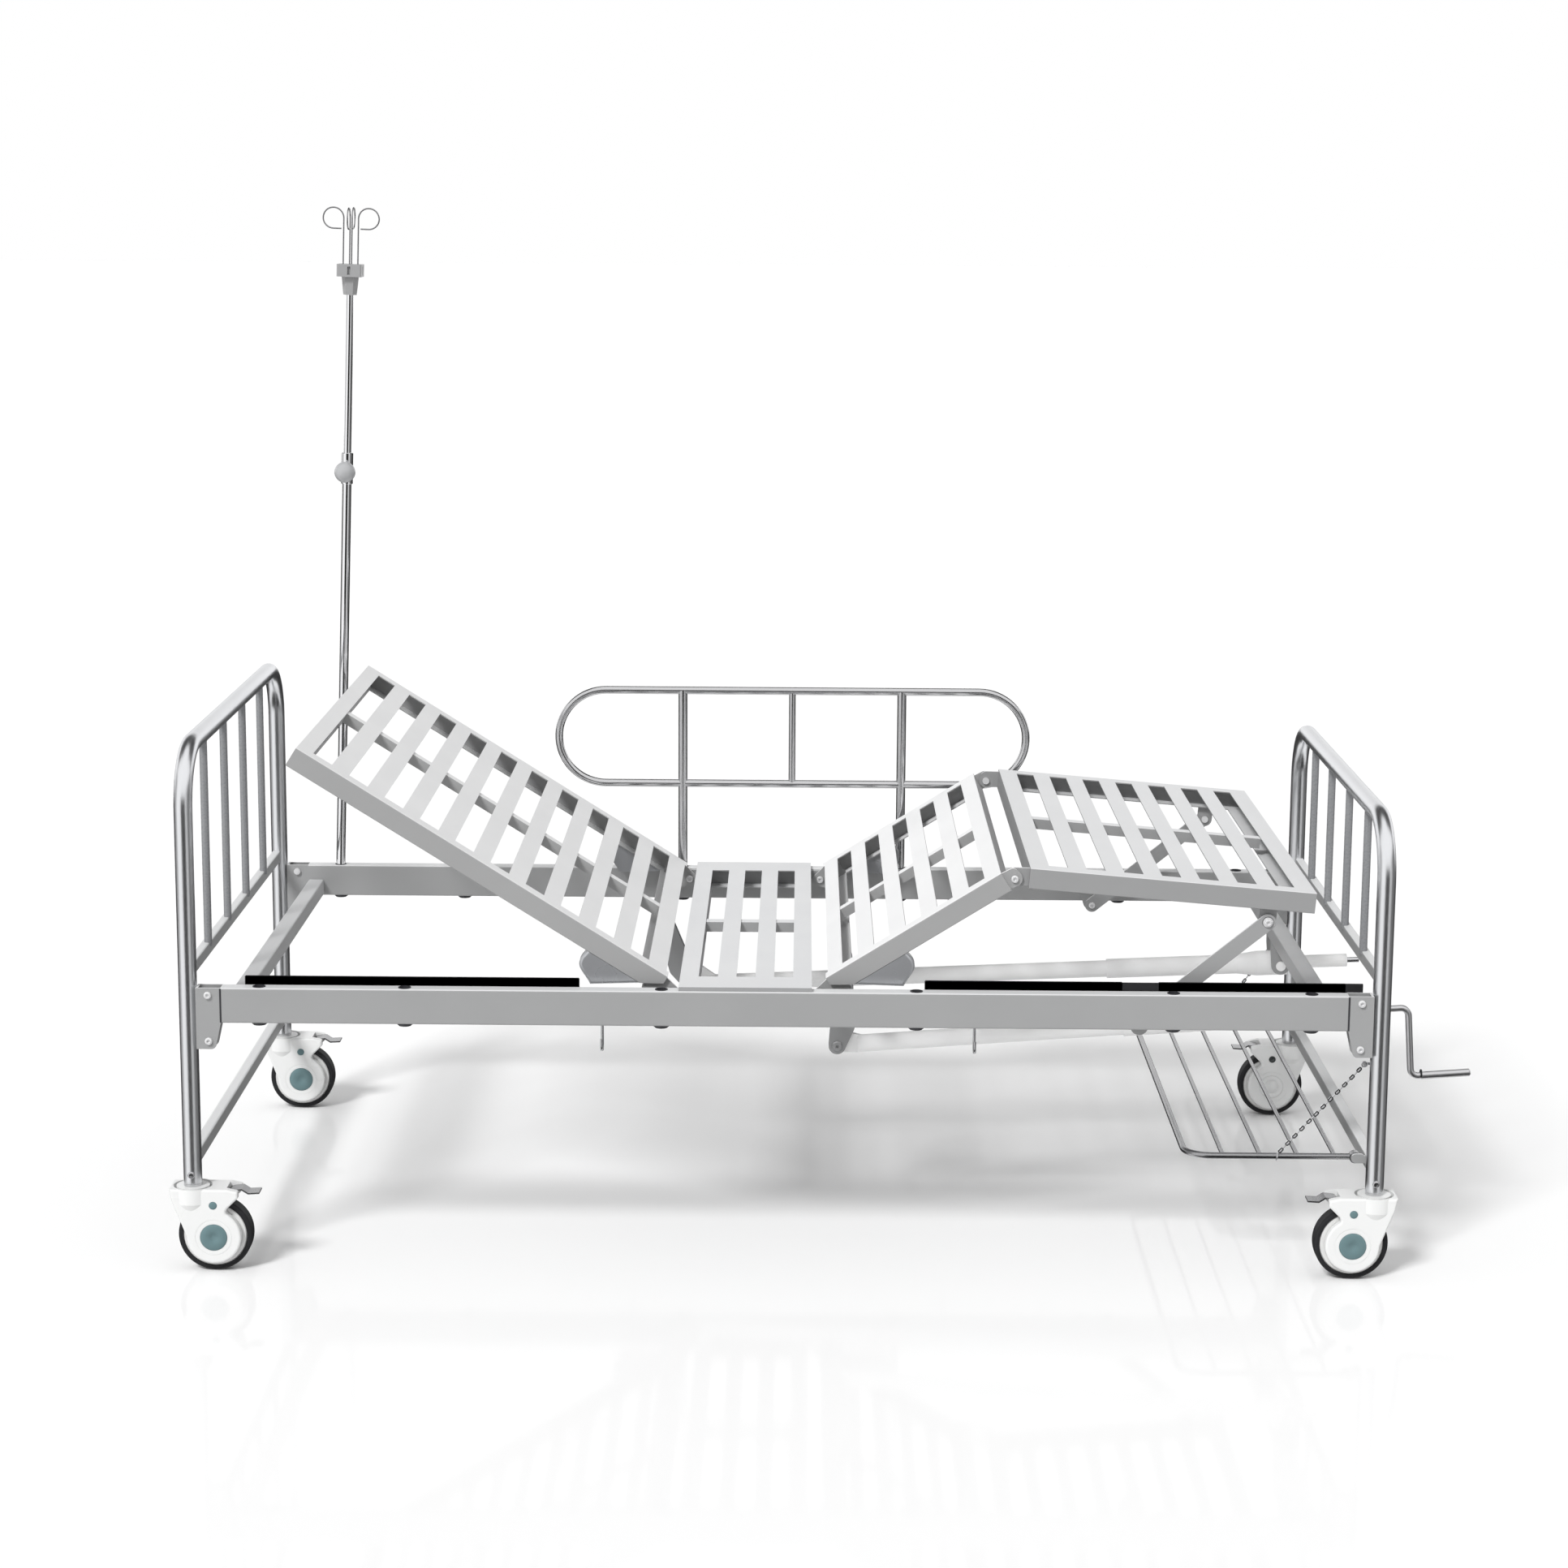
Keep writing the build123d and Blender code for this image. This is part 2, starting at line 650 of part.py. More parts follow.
def drive_lever(side, pin, sign):
    """Cross tube with two lever plates. pin is the lever bolt from the hinge pin, section flat."""
    x, z = drive_tube
    pieces = [tube((x, -ear_inner, z), (x, ear_inner, z), drive_tube_r, sheet)]
    along, aside, waist_r = lever_waist
    length = math.hypot(x - pin[0], z - pin[1])
    ux, uz = (x - pin[0]) / length, (z - pin[1]) / length
    waist = (pin[0] + along * ux + aside * uz, pin[1] + along * uz - aside * ux, waist_r)
    y = side * jack_y * sign
    for edge in (-1, 1):
        y0 = y + edge * (lug_t / 2 + layer_gap)
        y1 = y0 + edge * lever_t
        arm = plate([(x, z, drive_tube_r + 2), waist, (pin[0], pin[1], lever_eye_r)], y0, y1)
        arm = arm - pin_hole(pin[0], pin[1], bolt_r, y0 - 9, y0 + 9) - pin_hole(x, z, drive_tube_r, y0 - 9, y0 + 9)
        pieces.append(arm)
    reach = lug_t / 2 + layer_gap + lever_t
    pieces.append(bolt((pin[0], y - reach, pin[1]), (pin[0], y + reach, pin[1]), bolt_r, bolt_head_r, bolt_head_h))
    nut = rod((pin[0], y + reach, pin[1]), (pin[0], y + reach + bolt_head_h, pin[1]), bolt_head_r)
    pieces.append(nut)
    return pieces


# ---------------------------------------------------------------- jacks

def lever_path(pin, lift, raises):
    """Places of a lever bolt over the section's travel, as (turn, x, z) from the hinge pin."""
    steps = 30
    path = []
    for n in range(steps + 1):
        turn = math.radians(lift[0] + (lift[1] - lift[0]) * n / steps)
        c, s = math.cos(turn), math.sin(turn) * raises
        path.append((turn, pin[0] * c - pin[1] * s, pin[0] * s + pin[1] * c))
    return path


def jack_plan(hinge_x, head_z, pin, lift, raises):
    """The jack's line and the slot that takes up the lever's arc.

    raises is 1 when the section's free end points to the foot and -1 when it points to the head.
    """
    path = lever_path(pin, lift, raises)
    dx, dz = hinge_x + pin[0] - jack_head_x, hinge_z + pin[1] - head_z
    length = math.hypot(dx, dz)
    along = (dx / length, dz / length)
    square = (-along[1], along[0]) if along[0] > 0 else (along[1], -along[0])
    spots = []
    for turn, x, z in path:
        px, pz = hinge_x + x - jack_head_x, hinge_z + z - head_z
        spots.append((turn, px * along[0] + pz * along[1], px * square[0] + pz * square[1]))
    slope = sum(t * (s - length) for t, s, q in spots) / sum(t * t for t, s, q in spots)
    misfit = [s - length - slope * t for t, s, q in spots]
    return {"along": along, "square": square, "rest": length, "head_z": head_z, "slope": slope,
            "misfit": (min(misfit), max(misfit)), "slot": (min(q for t, s, q in spots), max(q for t, s, q in spots))}


def jack_place(plan, side):
    plane = Plane(origin=(jack_head_x, side * jack_y, plan["head_z"]), x_dir=(plan["along"][0], 0, plan["along"][1]),
                  z_dir=(plan["square"][0], 0, plan["square"][1]))
    return plane.location


def jack_sleeve():
    bore, small = push_r + running, screw_r + running
    profile = Polygon((sleeve_end, bore), (sleeve_end, sleeve_r), (80, sleeve_r), (42, flare_r), (-14, flare_r),
                      (-14, neck_r), (-neck_end, neck_r), (-neck_end, small), (60, small), (60, bore), align=None)
    body = revolve(Plane.XZ * profile, axis=Axis.X)
    outer = flare_r + layer_gap + lever_t
    for edge in (-1, 1):
        stub = rod((0, edge * (flare_r - 8), 0), (0, edge * (outer + bolt_seat), 0), stub_r)
        head = rod((0, edge * (outer + bolt_seat), 0), (0, edge * (outer + bolt_seat + 4), 0), bolt_head_r)
        body = body + (stub + head)
    return body


def push_tube(plan):
    end = plan["rest"] - 36
    inner = push_r - push_wall
    profile = Polygon((push_start, screw_r + running), (push_start, push_r), (end, push_r), (end, 0), (end - 18, 0),
                      (end - 18, inner), (push_start + nut_length, inner),
                      (push_start + nut_length, screw_r + running), align=None)
    body = revolve(Plane.XZ * profile, axis=Axis.X)
    low, high = plan["slot"]
    left, right = plan["misfit"]
    pin_s = plan["rest"]
    slot_r = bolt_r + lever_slack
    corners = [(pin_s + dx, dz) for dx in (left, right) for dz in (low, high)]
    half = lug_t / 2
    slot = slab(make_hull(rings(corners, slot_r)), -half, half)
    cheek = slab(make_hull(rings(corners + [(end - 4, -4), (end - 4, 4)], slot_r + lug_edge)), -half, half)
    return body + (cheek - slot)


def rings(points, radius):
    return [edge for x, z in points for edge in (Pos(x, z) * Circle(radius)).edges()]


def jack_screw():
    low, high, radius = screw_collar
    return rod((screw_end, 0, 0), (-neck_end + 4, 0, 0), screw_r) + rod((low, 0, 0), (high, 0, 0), radius)


def drive_end():
    """Bare shaft of the jack whose crank is taken off."""
    return rod((-neck_end + 4, 0, 0), (-drive_stub, 0, 0), drive_stub_r)


def crank_handle():
    end = (-grip_end + 3, 0, -crank_throw)
    points = [(-neck_end + 4, 0, 0), (-crank_elbow, 0, 0), (-crank_elbow, 0, -crank_throw), end]
    return bent_wire(points, crank_r, crank_bend)


def crank_grip():
    sleeve = rod((-grip_start, 0, -crank_throw), (-grip_end, 0, -crank_throw), grip_r)
    sleeve = chamfer(sleeve.edges().sort_by(Axis.X)[0], 2)
    bore = rod((-grip_start, 0, -crank_throw), (-grip_end + 3 - face_gap, 0, -crank_throw), crank_r + running)
    return sleeve - bore


# ---------------------------------------------------------------- struts

def leg_strut():
    """Flat strut with a close eye at its foot and an open eye at its top, in the rest pose."""
    (fx, fz), (tx, tz) = strut_foot(), strut_top(thigh_angle, leg_angle)
    bar = plate([(fx, fz, strut_w / 2), (tx, tz, strut_w / 2)], -strut_outer, -strut_inner)
    bar = bar - pin_hole(fx, fz, bolt_r + running, -strut_outer - 1, 0)
    return bar - pin_hole(tx, tz, bolt_r + strut_slack, -strut_outer - 1, 0)


# ---------------------------------------------------------------- guard rail and pole

def guard_rail():
    rise = (rail_high_z - rail_low_z) / 2
    points = [(rail_left_x + rise, rail_low_z), (rail_right_x - rise, rail_low_z),
              (rail_right_x - rise, rail_high_z), (rail_left_x + rise, rail_high_z)]
    right = RadiusArc(points[1], points[2], -rise)
    left = RadiusArc(points[3], points[0], -rise)
    loop = Curve() + [Line(points[0], points[1]), right, Line(points[2], points[3]), left]
    face = Plane(origin=(0, beam_y, 0), x_dir=(1, 0, 0), z_dir=(0, -1, 0))
    path = face * Wire(loop.edges())
    ring = sweep(Plane(origin=path @ 0, z_dir=path % 0) * Circle(rail_tube_r), path)
    foot = beam_low_z + plug_gap
    body = ring
    for x in (rail_left_socket_x, rail_right_socket_x):
        body = body + rod((x, beam_y, foot), (x, beam_y, rail_high_z), plug_r)
    mid = (rail_left_socket_x + rail_right_socket_x) / 2
    return body + rod((mid, beam_y, rail_low_z), (mid, beam_y, rail_high_z), rail_mid_r)


def lean(shape):
    """Tilts a part of the pole, drawn upright, about the bend above its socket."""
    return Pos(pole_socket_x, 0, pole_bend_z) * Rot(0, pole_lean, 0) * Pos(-pole_socket_x, 0, -pole_bend_z) * shape


def pole_lower():
    """Solid plug for the socket, bent into the leaning tube that the upper pole slides in."""
    x, foot = pole_socket_x, beam_low_z + plug_gap
    top = collar_low_z + collar_grip
    angle, length = math.radians(pole_lean), top - pole_bend_z
    end = (x + length * math.sin(angle), beam_y, pole_bend_z + length * math.cos(angle))
    body = bent_wire([(x, beam_y, foot), (x, beam_y, pole_bend_z), end], plug_r, pole_bend)
    return body - lean(rod((x, beam_y, pole_bend_z + 20), (x, beam_y, top + 1), pole_upper_r + running))


def pole_collar():
    x = pole_socket_x
    body = rod((x, beam_y, collar_low_z), (x, beam_y, collar_high_z), collar_r)
    boss = rod((x, beam_y, knob_z), (x, beam_y - collar_r - 5, knob_z), 9)
    body = chamfer(body.edges().filter_by(GeomType.CIRCLE), 0.8) + boss
    body = body - rod((x, beam_y, collar_low_z), (x, beam_y, collar_low_z + collar_grip), plug_r)
    body = body - rod((x, beam_y, collar_low_z), (x, beam_y, collar_high_z), pole_upper_r + running)
    return body - rod((x, beam_y, knob_z), (x, beam_y - knob_y, knob_z), knob_screw_r + running)


def pole_knob():
    x = pole_socket_x
    ball = Pos(x, beam_y - knob_y, knob_z) * Sphere(knob_r)
    trim = beam_y - collar_r - 5 - face_gap
    ball = ball - block(x - knob_r, x + knob_r, trim, beam_y, knob_z - knob_r, knob_z + knob_r)
    screw = rod((x, trim - 2, knob_z), (x, beam_y - pole_upper_r - face_gap, knob_z), knob_screw_r)
    return ball + screw


def pole_upper():
    x = pole_socket_x
    return tube((x, beam_y, pole_low_end), (x, beam_y, head_mid_z), pole_upper_r, pole_wall)


def pole_head():
    x = pole_socket_x
    half = head_side / 2
    block_part = block(x - half, x + half, beam_y - half, beam_y + half, head_mid_z, head_high_z)
    block_part = fillet(block_part.edges().filter_by(Axis.Z), 3)
    for turn in range(4):
        notch = block(half - 5, half + 1, -2.9, 2.9, head_mid_z + 4, head_high_z - 4)
        block_part = block_part - Pos(x, beam_y, 0) * Rot(0, 0, 90 * turn) * notch
    low = Plane(origin=(x, beam_y, head_low_z)) * RegularPolygon(13, 6)
    high = Plane(origin=(x, beam_y, head_mid_z)) * RegularPolygon(16.5, 6)
    body = block_part + loft([low, high])
    body = body - rod((x, beam_y, head_low_z), (x, beam_y, head_mid_z), pole_upper_r)
    for turn in range(4):
        body = body - Pos(x, beam_y, 0) * Rot(0, 0, 90 * turn) * hook_hole()
    return body


def hook_hole():
    return rod((hook_circle, 0, head_high_z - 12), (hook_circle, 0, head_high_z), hook_r)


def pole_hook():
    """Wire that rises from the head and closes in a loop that faces outwards."""
    middle = hook_circle + hook_loop
    stem = Line((hook_circle, head_high_z - 12), (hook_circle, hook_loop_z))
    loop = CenterArc((middle, hook_loop_z), hook_loop, 180, -270)
    tail = Line((middle, hook_loop_z - hook_loop), (hook_circle + 3 * hook_r, hook_loop_z - hook_loop))
    path = Plane.XZ * Wire((Curve() + [stem, loop, tail]).edges())
    return sweep(Plane(origin=path @ 0, z_dir=path % 0) * Circle(hook_r), path)


# ---------------------------------------------------------------- shelf

def shelf_rack():
    eye_gap = shelf_pin_r + 6
    points = [(shelf_pivot_x - eye_gap + 2, -shelf_half, shelf_z), (shelf_free_x, -shelf_half, shelf_z),
              (shelf_free_x, shelf_half, shelf_z), (shelf_pivot_x - eye_gap + 2, shelf_half, shelf_z)]
    rack = bent_wire(points, shelf_wire_r, shelf_bend)
    for side in (-1, 1):
        y0, y1 = side * shelf_half - shelf_eye_half, side * shelf_half + shelf_eye_half
        rack = rack + rod((shelf_pivot_x, y0, shelf_z), (shelf_pivot_x, y1, shelf_z), eye_gap)
        rack = rack - pin_hole(shelf_pivot_x, shelf_z, shelf_pin_r + running, y0 - 1, y1 + 1)
    step = (shelf_pivot_x + 30 - shelf_free_x) / (shelf_rods + 1)
    reach = shelf_half - 0.6 * shelf_wire_r
    for n in range(1, shelf_rods + 1):
        x = shelf_free_x + step * n
        rack = rack + rod((x, -reach, shelf_z), (x, reach, shelf_z), shelf_rod_r)
    return [rack]


def chain_ends():
    """Upper end on the post and lower end outside the shelf's side wire."""
    outside = -shelf_half - shelf_wire_r - face_gap - chain_wire_r
    top = (post_x - post_r - chain_ring_gap, -post_y + chain_eye_y - chain_ring_r, chain_top_z)
    return top, (chain_hook_x, outside, shelf_z + 6)


def shelf_chain():
    """Wire chain: straight stretches and oval links, with a hook that the shelf lies in."""
    top, low = (Vector(*end) for end in chain_ends())
    line = low - top
    plane = Plane(origin=top, x_dir=line, z_dir=line.cross(Vector(0, 1, 0)).cross(line))
    length = line.length
    chain = rod(tuple(top + line * (chain_ring_r / length)), tuple(low), chain_wire_r)
    link = SlotOverall(11, 6.4) - SlotOverall(11 - 3 * chain_wire_r, 6.4 - 3 * chain_wire_r)
    for n in range(chain_links):
        place = Pos(chain_ring_r + (length - chain_ring_r) * (n + 0.5) / chain_links, 0)
        chain = chain + extrude(plane * place * link, chain_wire_r, both=True)
    reach = shelf_wire_r + face_gap + chain_wire_r
    centre = (-shelf_half, shelf_z)
    hook = Plane.YZ * Wire([CenterArc(centre, reach, 180, 130)])
    hook = Pos(low.X, 0, 0) * hook
    chain = chain + sweep(Plane(origin=hook @ 0, z_dir=hook % 0) * Circle(chain_wire_r), hook)
    drop = rod(tuple(low), (low.X, low.Y, shelf_z), chain_wire_r)
    ring = Pos(top.X, top.Y, top.Z) * Rot(90, 0, 0) * Torus(chain_ring_r, chain_wire_r)
    return chain + drop + ring


def chain_eye():
    """Screw eye on the foot post that a chain's ring turns on."""
    x, y, z = chain_ends()[0]
    across = -post_y + chain_eye_y
    peg = bent_wire([(x, y - 3, z), (x, across, z), (post_x - post_r + 6, across, z)], chain_peg_r, 3.5)
    return peg - rod((post_x, -post_y, z - 9), (post_x, -post_y, z + 9), post_r)


# ---------------------------------------------------------------- casters, stem on Z, axle towards +X

def caster_side():
    """Side view of the cover's upper part, from the cup over the wheel to the chin."""
    outline = Polygon((-cup_r, house_top_z), (62, house_top_z), (80, house_top_z - 4), (80, 131), (61, 112),
                      (caster_trail, wheel_r), (caster_trail - cheek_r, wheel_r), (-14, 78), (-21, 97), (-32, 125),
                      align=None)
    chin = [v for v in outline.vertices() if v.X > 75]
    return fillet(chin, 3)


def caster_shell():
    body = slab(caster_side(), -house_half, house_half)
    body = body + pin_hole(caster_trail, wheel_r, cheek_r, -house_half, house_half)
    inside = [edge for edge in body.edges().filter_by(Axis.Y) if edge.center().X > caster_trail + 5]
    inside = [edge for edge in inside if 90 < edge.center().Z < 120]
    body = fillet(inside, 6)
    edges = body.faces().sort_by(Axis.Y)[0].edges() + body.faces().sort_by(Axis.Y)[-1].edges()
    body = fillet(edges, 4)
    cup = extrude(Plane.XY.offset(house_top_z) * Circle(cup_r), -26)
    taper = loft([Plane.XY.offset(house_top_z - 26) * Circle(cup_r), Plane.XY.offset(house_top_z - 52) * Circle(24)])
    body = body + cup + taper
    cavity_half = wheel_w / 2 + cavity_gap / 2
    body = body - pin_hole(caster_trail, wheel_r, wheel_r + cavity_gap, -cavity_half, cavity_half)
    x0, x1, z0, z1 = throat
    body = body - block(x0, x1, -cavity_half, cavity_half, z0, z1)
    groove = extrude(Plane.XY.offset(house_top_z) * (Circle(cup_r - 3) - Circle(cup_r - 8)), -12)
    body = body - groove
    body = body - rod((0, 0, house_top_z - 24), (0, 0, house_top_z), stem_r + running)
    body = body - pin_hole(pedal_pin[0], pedal_pin[1], pedal_pin_r + running, -house_half + 4, house_half - 4)
    for edge in (-1, 1):
        side = edge * house_half
        body = body - pin_hole(caster_trail, wheel_r, cap_r, side - edge, side + edge)
        body = body - pin_hole(caster_trail, wheel_r + 56, dot_r, side - edge, side + edge)
        ring = pin_hole(caster_trail, wheel_r, 31.2, side - edge * 0.6, side + edge)
        body = body - (ring - pin_hole(caster_trail, wheel_r, 30.2, side - edge * 2, side + edge * 2))
    return body


def caster_housing():
    axle = pin_hole(caster_trail, wheel_r, axle_r, -house_half + 5, house_half - 5)
    return [caster_shell() - axle, axle]


def caster_pedal():
    x, z = pedal_pin
    barrel = pin_hole(x, z, 7, -pedal_half, pedal_half) + pin_hole(x, z, pedal_pin_r, -house_half + 4, house_half - 4)
    line = Polyline((x - 2, z + 5.6), (x + 16, z + 8), (x + 27, z + 1), (x + 46, z + 2))
    return barrel + slab(trace(line, 2.6), -pedal_half, pedal_half)


def caster_tyre():
    half, inner = wheel_w / 2, wheel_r - tyre_depth
    section = Pos((inner + wheel_r) / 2, 0) * Rectangle(tyre_depth, wheel_w)
    section = fillet(section.vertices().sort_by(Axis.X)[-2:], 5)
    ring = revolve(section, axis=Axis.Y)
    return Pos(caster_trail, 0, wheel_r) * ring


def caster_hub():
    rim = wheel_r - tyre_depth
    half = wheel_w / 2 - 1
    body = pin_hole(caster_trail, wheel_r, rim, -half, half)
    body = chamfer(body.edges().filter_by(GeomType.CIRCLE), 2)
    return body - pin_hole(caster_trail, wheel_r, axle_r + running, -half, half)


def caster_stem():
    """Plug inside the post, a collar under it and the swivel pin."""
    collar = rod((0, 0, house_top_z + face_gap), (0, 0, post_foot_z), post_r)
    plug = rod((0, 0, post_foot_z), (0, 0, post_foot_z + plug_length), post_r - post_wall)
    pin = rod((0, 0, house_top_z - 24 + face_gap), (0, 0, post_foot_z), stem_r)
    return collar + plug + pin


def stem_screw():
    return bolt((0, -post_r, stem_screw_z), (0, -post_r + post_wall, stem_screw_z), stem_screw_r, 6, 3.6)


def caster_spots():
    """Name, place and trail direction of each caster."""
    spots = []
    for end, sign in (("head", -1), ("foot", 1)):
        for side, name in ((-1, "near"), (1, "far")):
            spots.append((end + "_" + name, sign * post_x, side * post_y, -sign))
    return spots


# ---------------------------------------------------------------- placing and writing

back_plan = jack_plan(back_hinge_x, back_jack_z, back_lever_pin, back_lift, -1)
thigh_plan = jack_plan(thigh_hinge_x, knee_jack_z, thigh_lever_pin, thigh_lift, 1)
handle_end_x = jack_head_x - thigh_plan["along"][0] * grip_end
head_end_x = -post_x - cup_r
origin_x = (handle_end_x + head_end_x) / 2


def save(name, shapes):
    moved = [Pos(-origin_x, 0, 0) * solid for solid in solids_of(shapes)]
    export_step(Compound(children=moved, label=name), "parts/" + name + ".step")
    print(name, len(moved))


def place_back(shapes):
    """The back is drawn like the other sections and then turned round to point to the head."""
    turned = [Rot(0, 0, 180) * shape for shape in shapes]
    return [Pos(back_hinge_x, 0, hinge_z) * Rot(0, back_angle, 0) * shape for shape in turned]


def place_thigh(shapes):
    return [turn_flat_to(shape, thigh_hinge_x, hinge_z, thigh_angle) for shape in shapes]


def place_leg(shapes):
    kx, kz = knee_at(thigh_angle)
    return [turn_flat_to(shape, kx, kz, leg_angle) for shape in shapes]


def flat_pin(pin, angle, sign):
    """A lever bolt given in the rest pose, brought back to the section drawn flat."""
    a = math.radians(angle)
    x, z = sign * pin[0], pin[1]
    return x * math.cos(a) + z * math.sin(a), -x * math.sin(a) + z * math.cos(a)


def write_end_boards():
    save("head_arch", [end_arch(-post_x, head_top_z)])
    save("foot_arch", [end_arch(post_x, foot_top_z)])
    save("board_bars", board_bars(-1, head_top_z) + board_bars(1, foot_top_z))
    save("board_rails", [lower_rail(-1), lower_rail(1), stretcher(-1), stretcher(1)])


def write_frame():
    save("side_beams", both_sides(side_beam()))
    save("end_brackets", [shape for sign in (-1, 1) for shape in both_sides(end_bracket(sign))])
    save("cross_members", [cross_member(cross_head_x), cross_member(cross_foot_x)])
    save("socket_rings", [shape for x in socket_xs for shape in both_sides(socket_liner(x))])
    plates = [hinge_plate(back_hinge_x), hinge_plate(thigh_hinge_x), strut_plate(), shelf_lug(), chain_eye()]
    plates = [shape for one in plates for shape in both_sides(one)]
    save("frame_brackets", plates + jack_plates(-1, knee_jack_z) + jack_plates(1, back_jack_z))
    bolts = bracket_bolts(-1) + bracket_bolts(1)
    bolts = bolts + [hinge_pin(back_hinge_x), hinge_pin(thigh_hinge_x), strut_foot_pin()]
    save("frame_bolts", [shape for one in bolts for shape in both_sides(one)])
    save("drain_hooks", [shape for x in drain_xs for shape in both_sides(drain_hook(x))])
    save("buffer_strips", [buffer_strip(x0, x1) for x0, x1 in strip_runs])


def write_seat():
    start, end = back_hinge_x + ear_r + layer_gap, thigh_hinge_x - ear_r - 5
    side = side_channel(start, end)
    side = side + block(start, end, -beam_outer + 4, -deck_half + sheet, beam_top_z - hinge_z, deck_rise)
    plates = (slat_w, slat_w)
    frame = both_sides(side) + [end_channel(start, start + slat_w, 1), end_channel(end - slat_w, end, -1),
                                deck_spine(start + slat_w, end - slat_w)]
    lifted = [Pos(0, 0, hinge_z) * shape for shape in frame]
    save("seat_frame", lifted)
    slats = deck_slats(start, end, plates, slot_w, slat_w)
    save("seat_slats", [Pos(0, 0, hinge_z) * shape for shape in slats])


def write_back():
    save("back_frame", place_back(back_frame()))
    save("back_slats", place_back(deck_slats(deck_start, back_length, back_plates, back_slot_w, back_slat_w)))
    save("back_guards", place_back(both_sides(guard_cover())))
    save("back_lever", place_back(drive_lever(1, flat_pin(back_lever_pin, back_angle, -1), -1)))


def write_thigh():
    end = thigh_length - knee_setback
    save("thigh_frame", place_thigh(thigh_frame()))
    save("thigh_slats", place_thigh(deck_slats(deck_start, end, thigh_plates, slot_w, slat_w)))
    save("thigh_guards", place_thigh(both_sides(guard_cover())))
    save("thigh_lever", place_thigh(drive_lever(-1, flat_pin(thigh_lever_pin, thigh_angle, 1), 1)))


def write_leg():
    save("leg_frame", place_leg(leg_frame()))
    save("leg_slats", place_leg(deck_slats(deck_start, leg_length, leg_plates, slot_w, slat_w)))
    save("leg_bolts", place_leg(both_sides(knee_bolt()) + both_sides(strut_bolt())))
    save("leg_struts", both_sides(leg_strut()))


def write_jacks():
    back, thigh = jack_place(back_plan, 1), jack_place(thigh_plan, -1)
    save("back_jack_sleeve", [back * jack_sleeve()])
    save("back_push_tube", [back * push_tube(back_plan)])
    save("back_screw", [back * (jack_screw() + drive_end())])
    save("knee_jack_sleeve", [thigh * jack_sleeve()])
    save("knee_push_tube", [thigh * push_tube(thigh_plan)])
    save("knee_screw", [thigh * jack_screw()])
    save("crank_handle", [thigh * crank_handle()])
    save("crank_grip", [thigh * crank_grip()])


def write_extras():
    save("guard_rail", [guard_rail()])
    save("pole_lower", [pole_lower()])
    save("pole_collar", [lean(pole_collar())])
    save("pole_knob", [lean(pole_knob())])
    save("pole_upper", [lean(pole_upper())])
    save("pole_head", [lean(pole_head())])
    middle = Pos(pole_socket_x, beam_y, 0)
    save("pole_hooks", [lean(middle * Rot(0, 0, 90 * n) * pole_hook()) for n in range(4)])
    save("shelf_rack", shelf_rack())
    save("shelf_chains", both_sides(shelf_chain()))


def write_casters():
    stems = []
    for name, x, y, heading in caster_spots():
        place = Pos(x, y, 0) * Rot(0, 0, 0 if heading > 0 else 180)
        save("caster_" + name + "_housing", [place * shape for shape in caster_housing()])
        save("caster_" + name + "_pedal", [place * caster_pedal()])
        save("caster_" + name + "_tyre", [place * caster_tyre()])
        save("caster_" + name + "_hub", [place * caster_hub()])
        screw = stem_screw() if y < 0 else other_side(stem_screw())
        stems = stems + [Pos(x, y, 0) * caster_stem(), Pos(x, y, 0) * screw]
    save("caster_stems", stems)


os.makedirs("parts", exist_ok=True)
write_end_boards()
write_frame()
write_seat()
write_back()
write_thigh()
write_leg()
write_jacks()
write_extras()
write_casters()
print("back slide per radian", round(back_plan["slope"], 3), "misfit", back_plan["misfit"])
print("thigh slide per radian", round(thigh_plan["slope"], 3), "misfit", thigh_plan["misfit"])
print("origin at x", round(origin_x, 2), "in the plan")
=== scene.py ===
import math
import json
import bpy
import bmesh
from mathutils import Matrix, Vector


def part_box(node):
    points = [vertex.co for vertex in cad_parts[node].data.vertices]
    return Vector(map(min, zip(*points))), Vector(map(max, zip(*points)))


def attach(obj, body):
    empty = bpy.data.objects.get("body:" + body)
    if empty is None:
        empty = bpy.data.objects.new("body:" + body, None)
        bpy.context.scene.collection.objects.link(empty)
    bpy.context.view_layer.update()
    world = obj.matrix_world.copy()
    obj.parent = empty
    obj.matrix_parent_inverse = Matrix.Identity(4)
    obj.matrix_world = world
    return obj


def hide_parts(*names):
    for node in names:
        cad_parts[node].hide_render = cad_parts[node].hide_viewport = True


# lengths are in metres; X runs to the foot end, Y to the far side, Z up
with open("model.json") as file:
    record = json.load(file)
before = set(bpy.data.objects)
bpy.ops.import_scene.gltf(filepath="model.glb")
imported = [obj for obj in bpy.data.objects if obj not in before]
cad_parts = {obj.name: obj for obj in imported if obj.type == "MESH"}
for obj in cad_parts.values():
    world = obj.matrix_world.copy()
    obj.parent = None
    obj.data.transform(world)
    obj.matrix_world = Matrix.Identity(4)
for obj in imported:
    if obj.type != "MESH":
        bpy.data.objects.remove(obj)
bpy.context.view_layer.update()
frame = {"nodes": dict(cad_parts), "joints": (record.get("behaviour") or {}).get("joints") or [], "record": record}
nodes = frame["nodes"]
casterNames = ("head_near", "head_far", "foot_near", "foot_far")
colourA, colourB, colourOut = 6, 7, 2   # the colour sockets of a Mix node


def jointPoint(name):
    for joint in frame["joints"]:
        if joint["name"] == name:
            return Vector(joint["pos_m"])


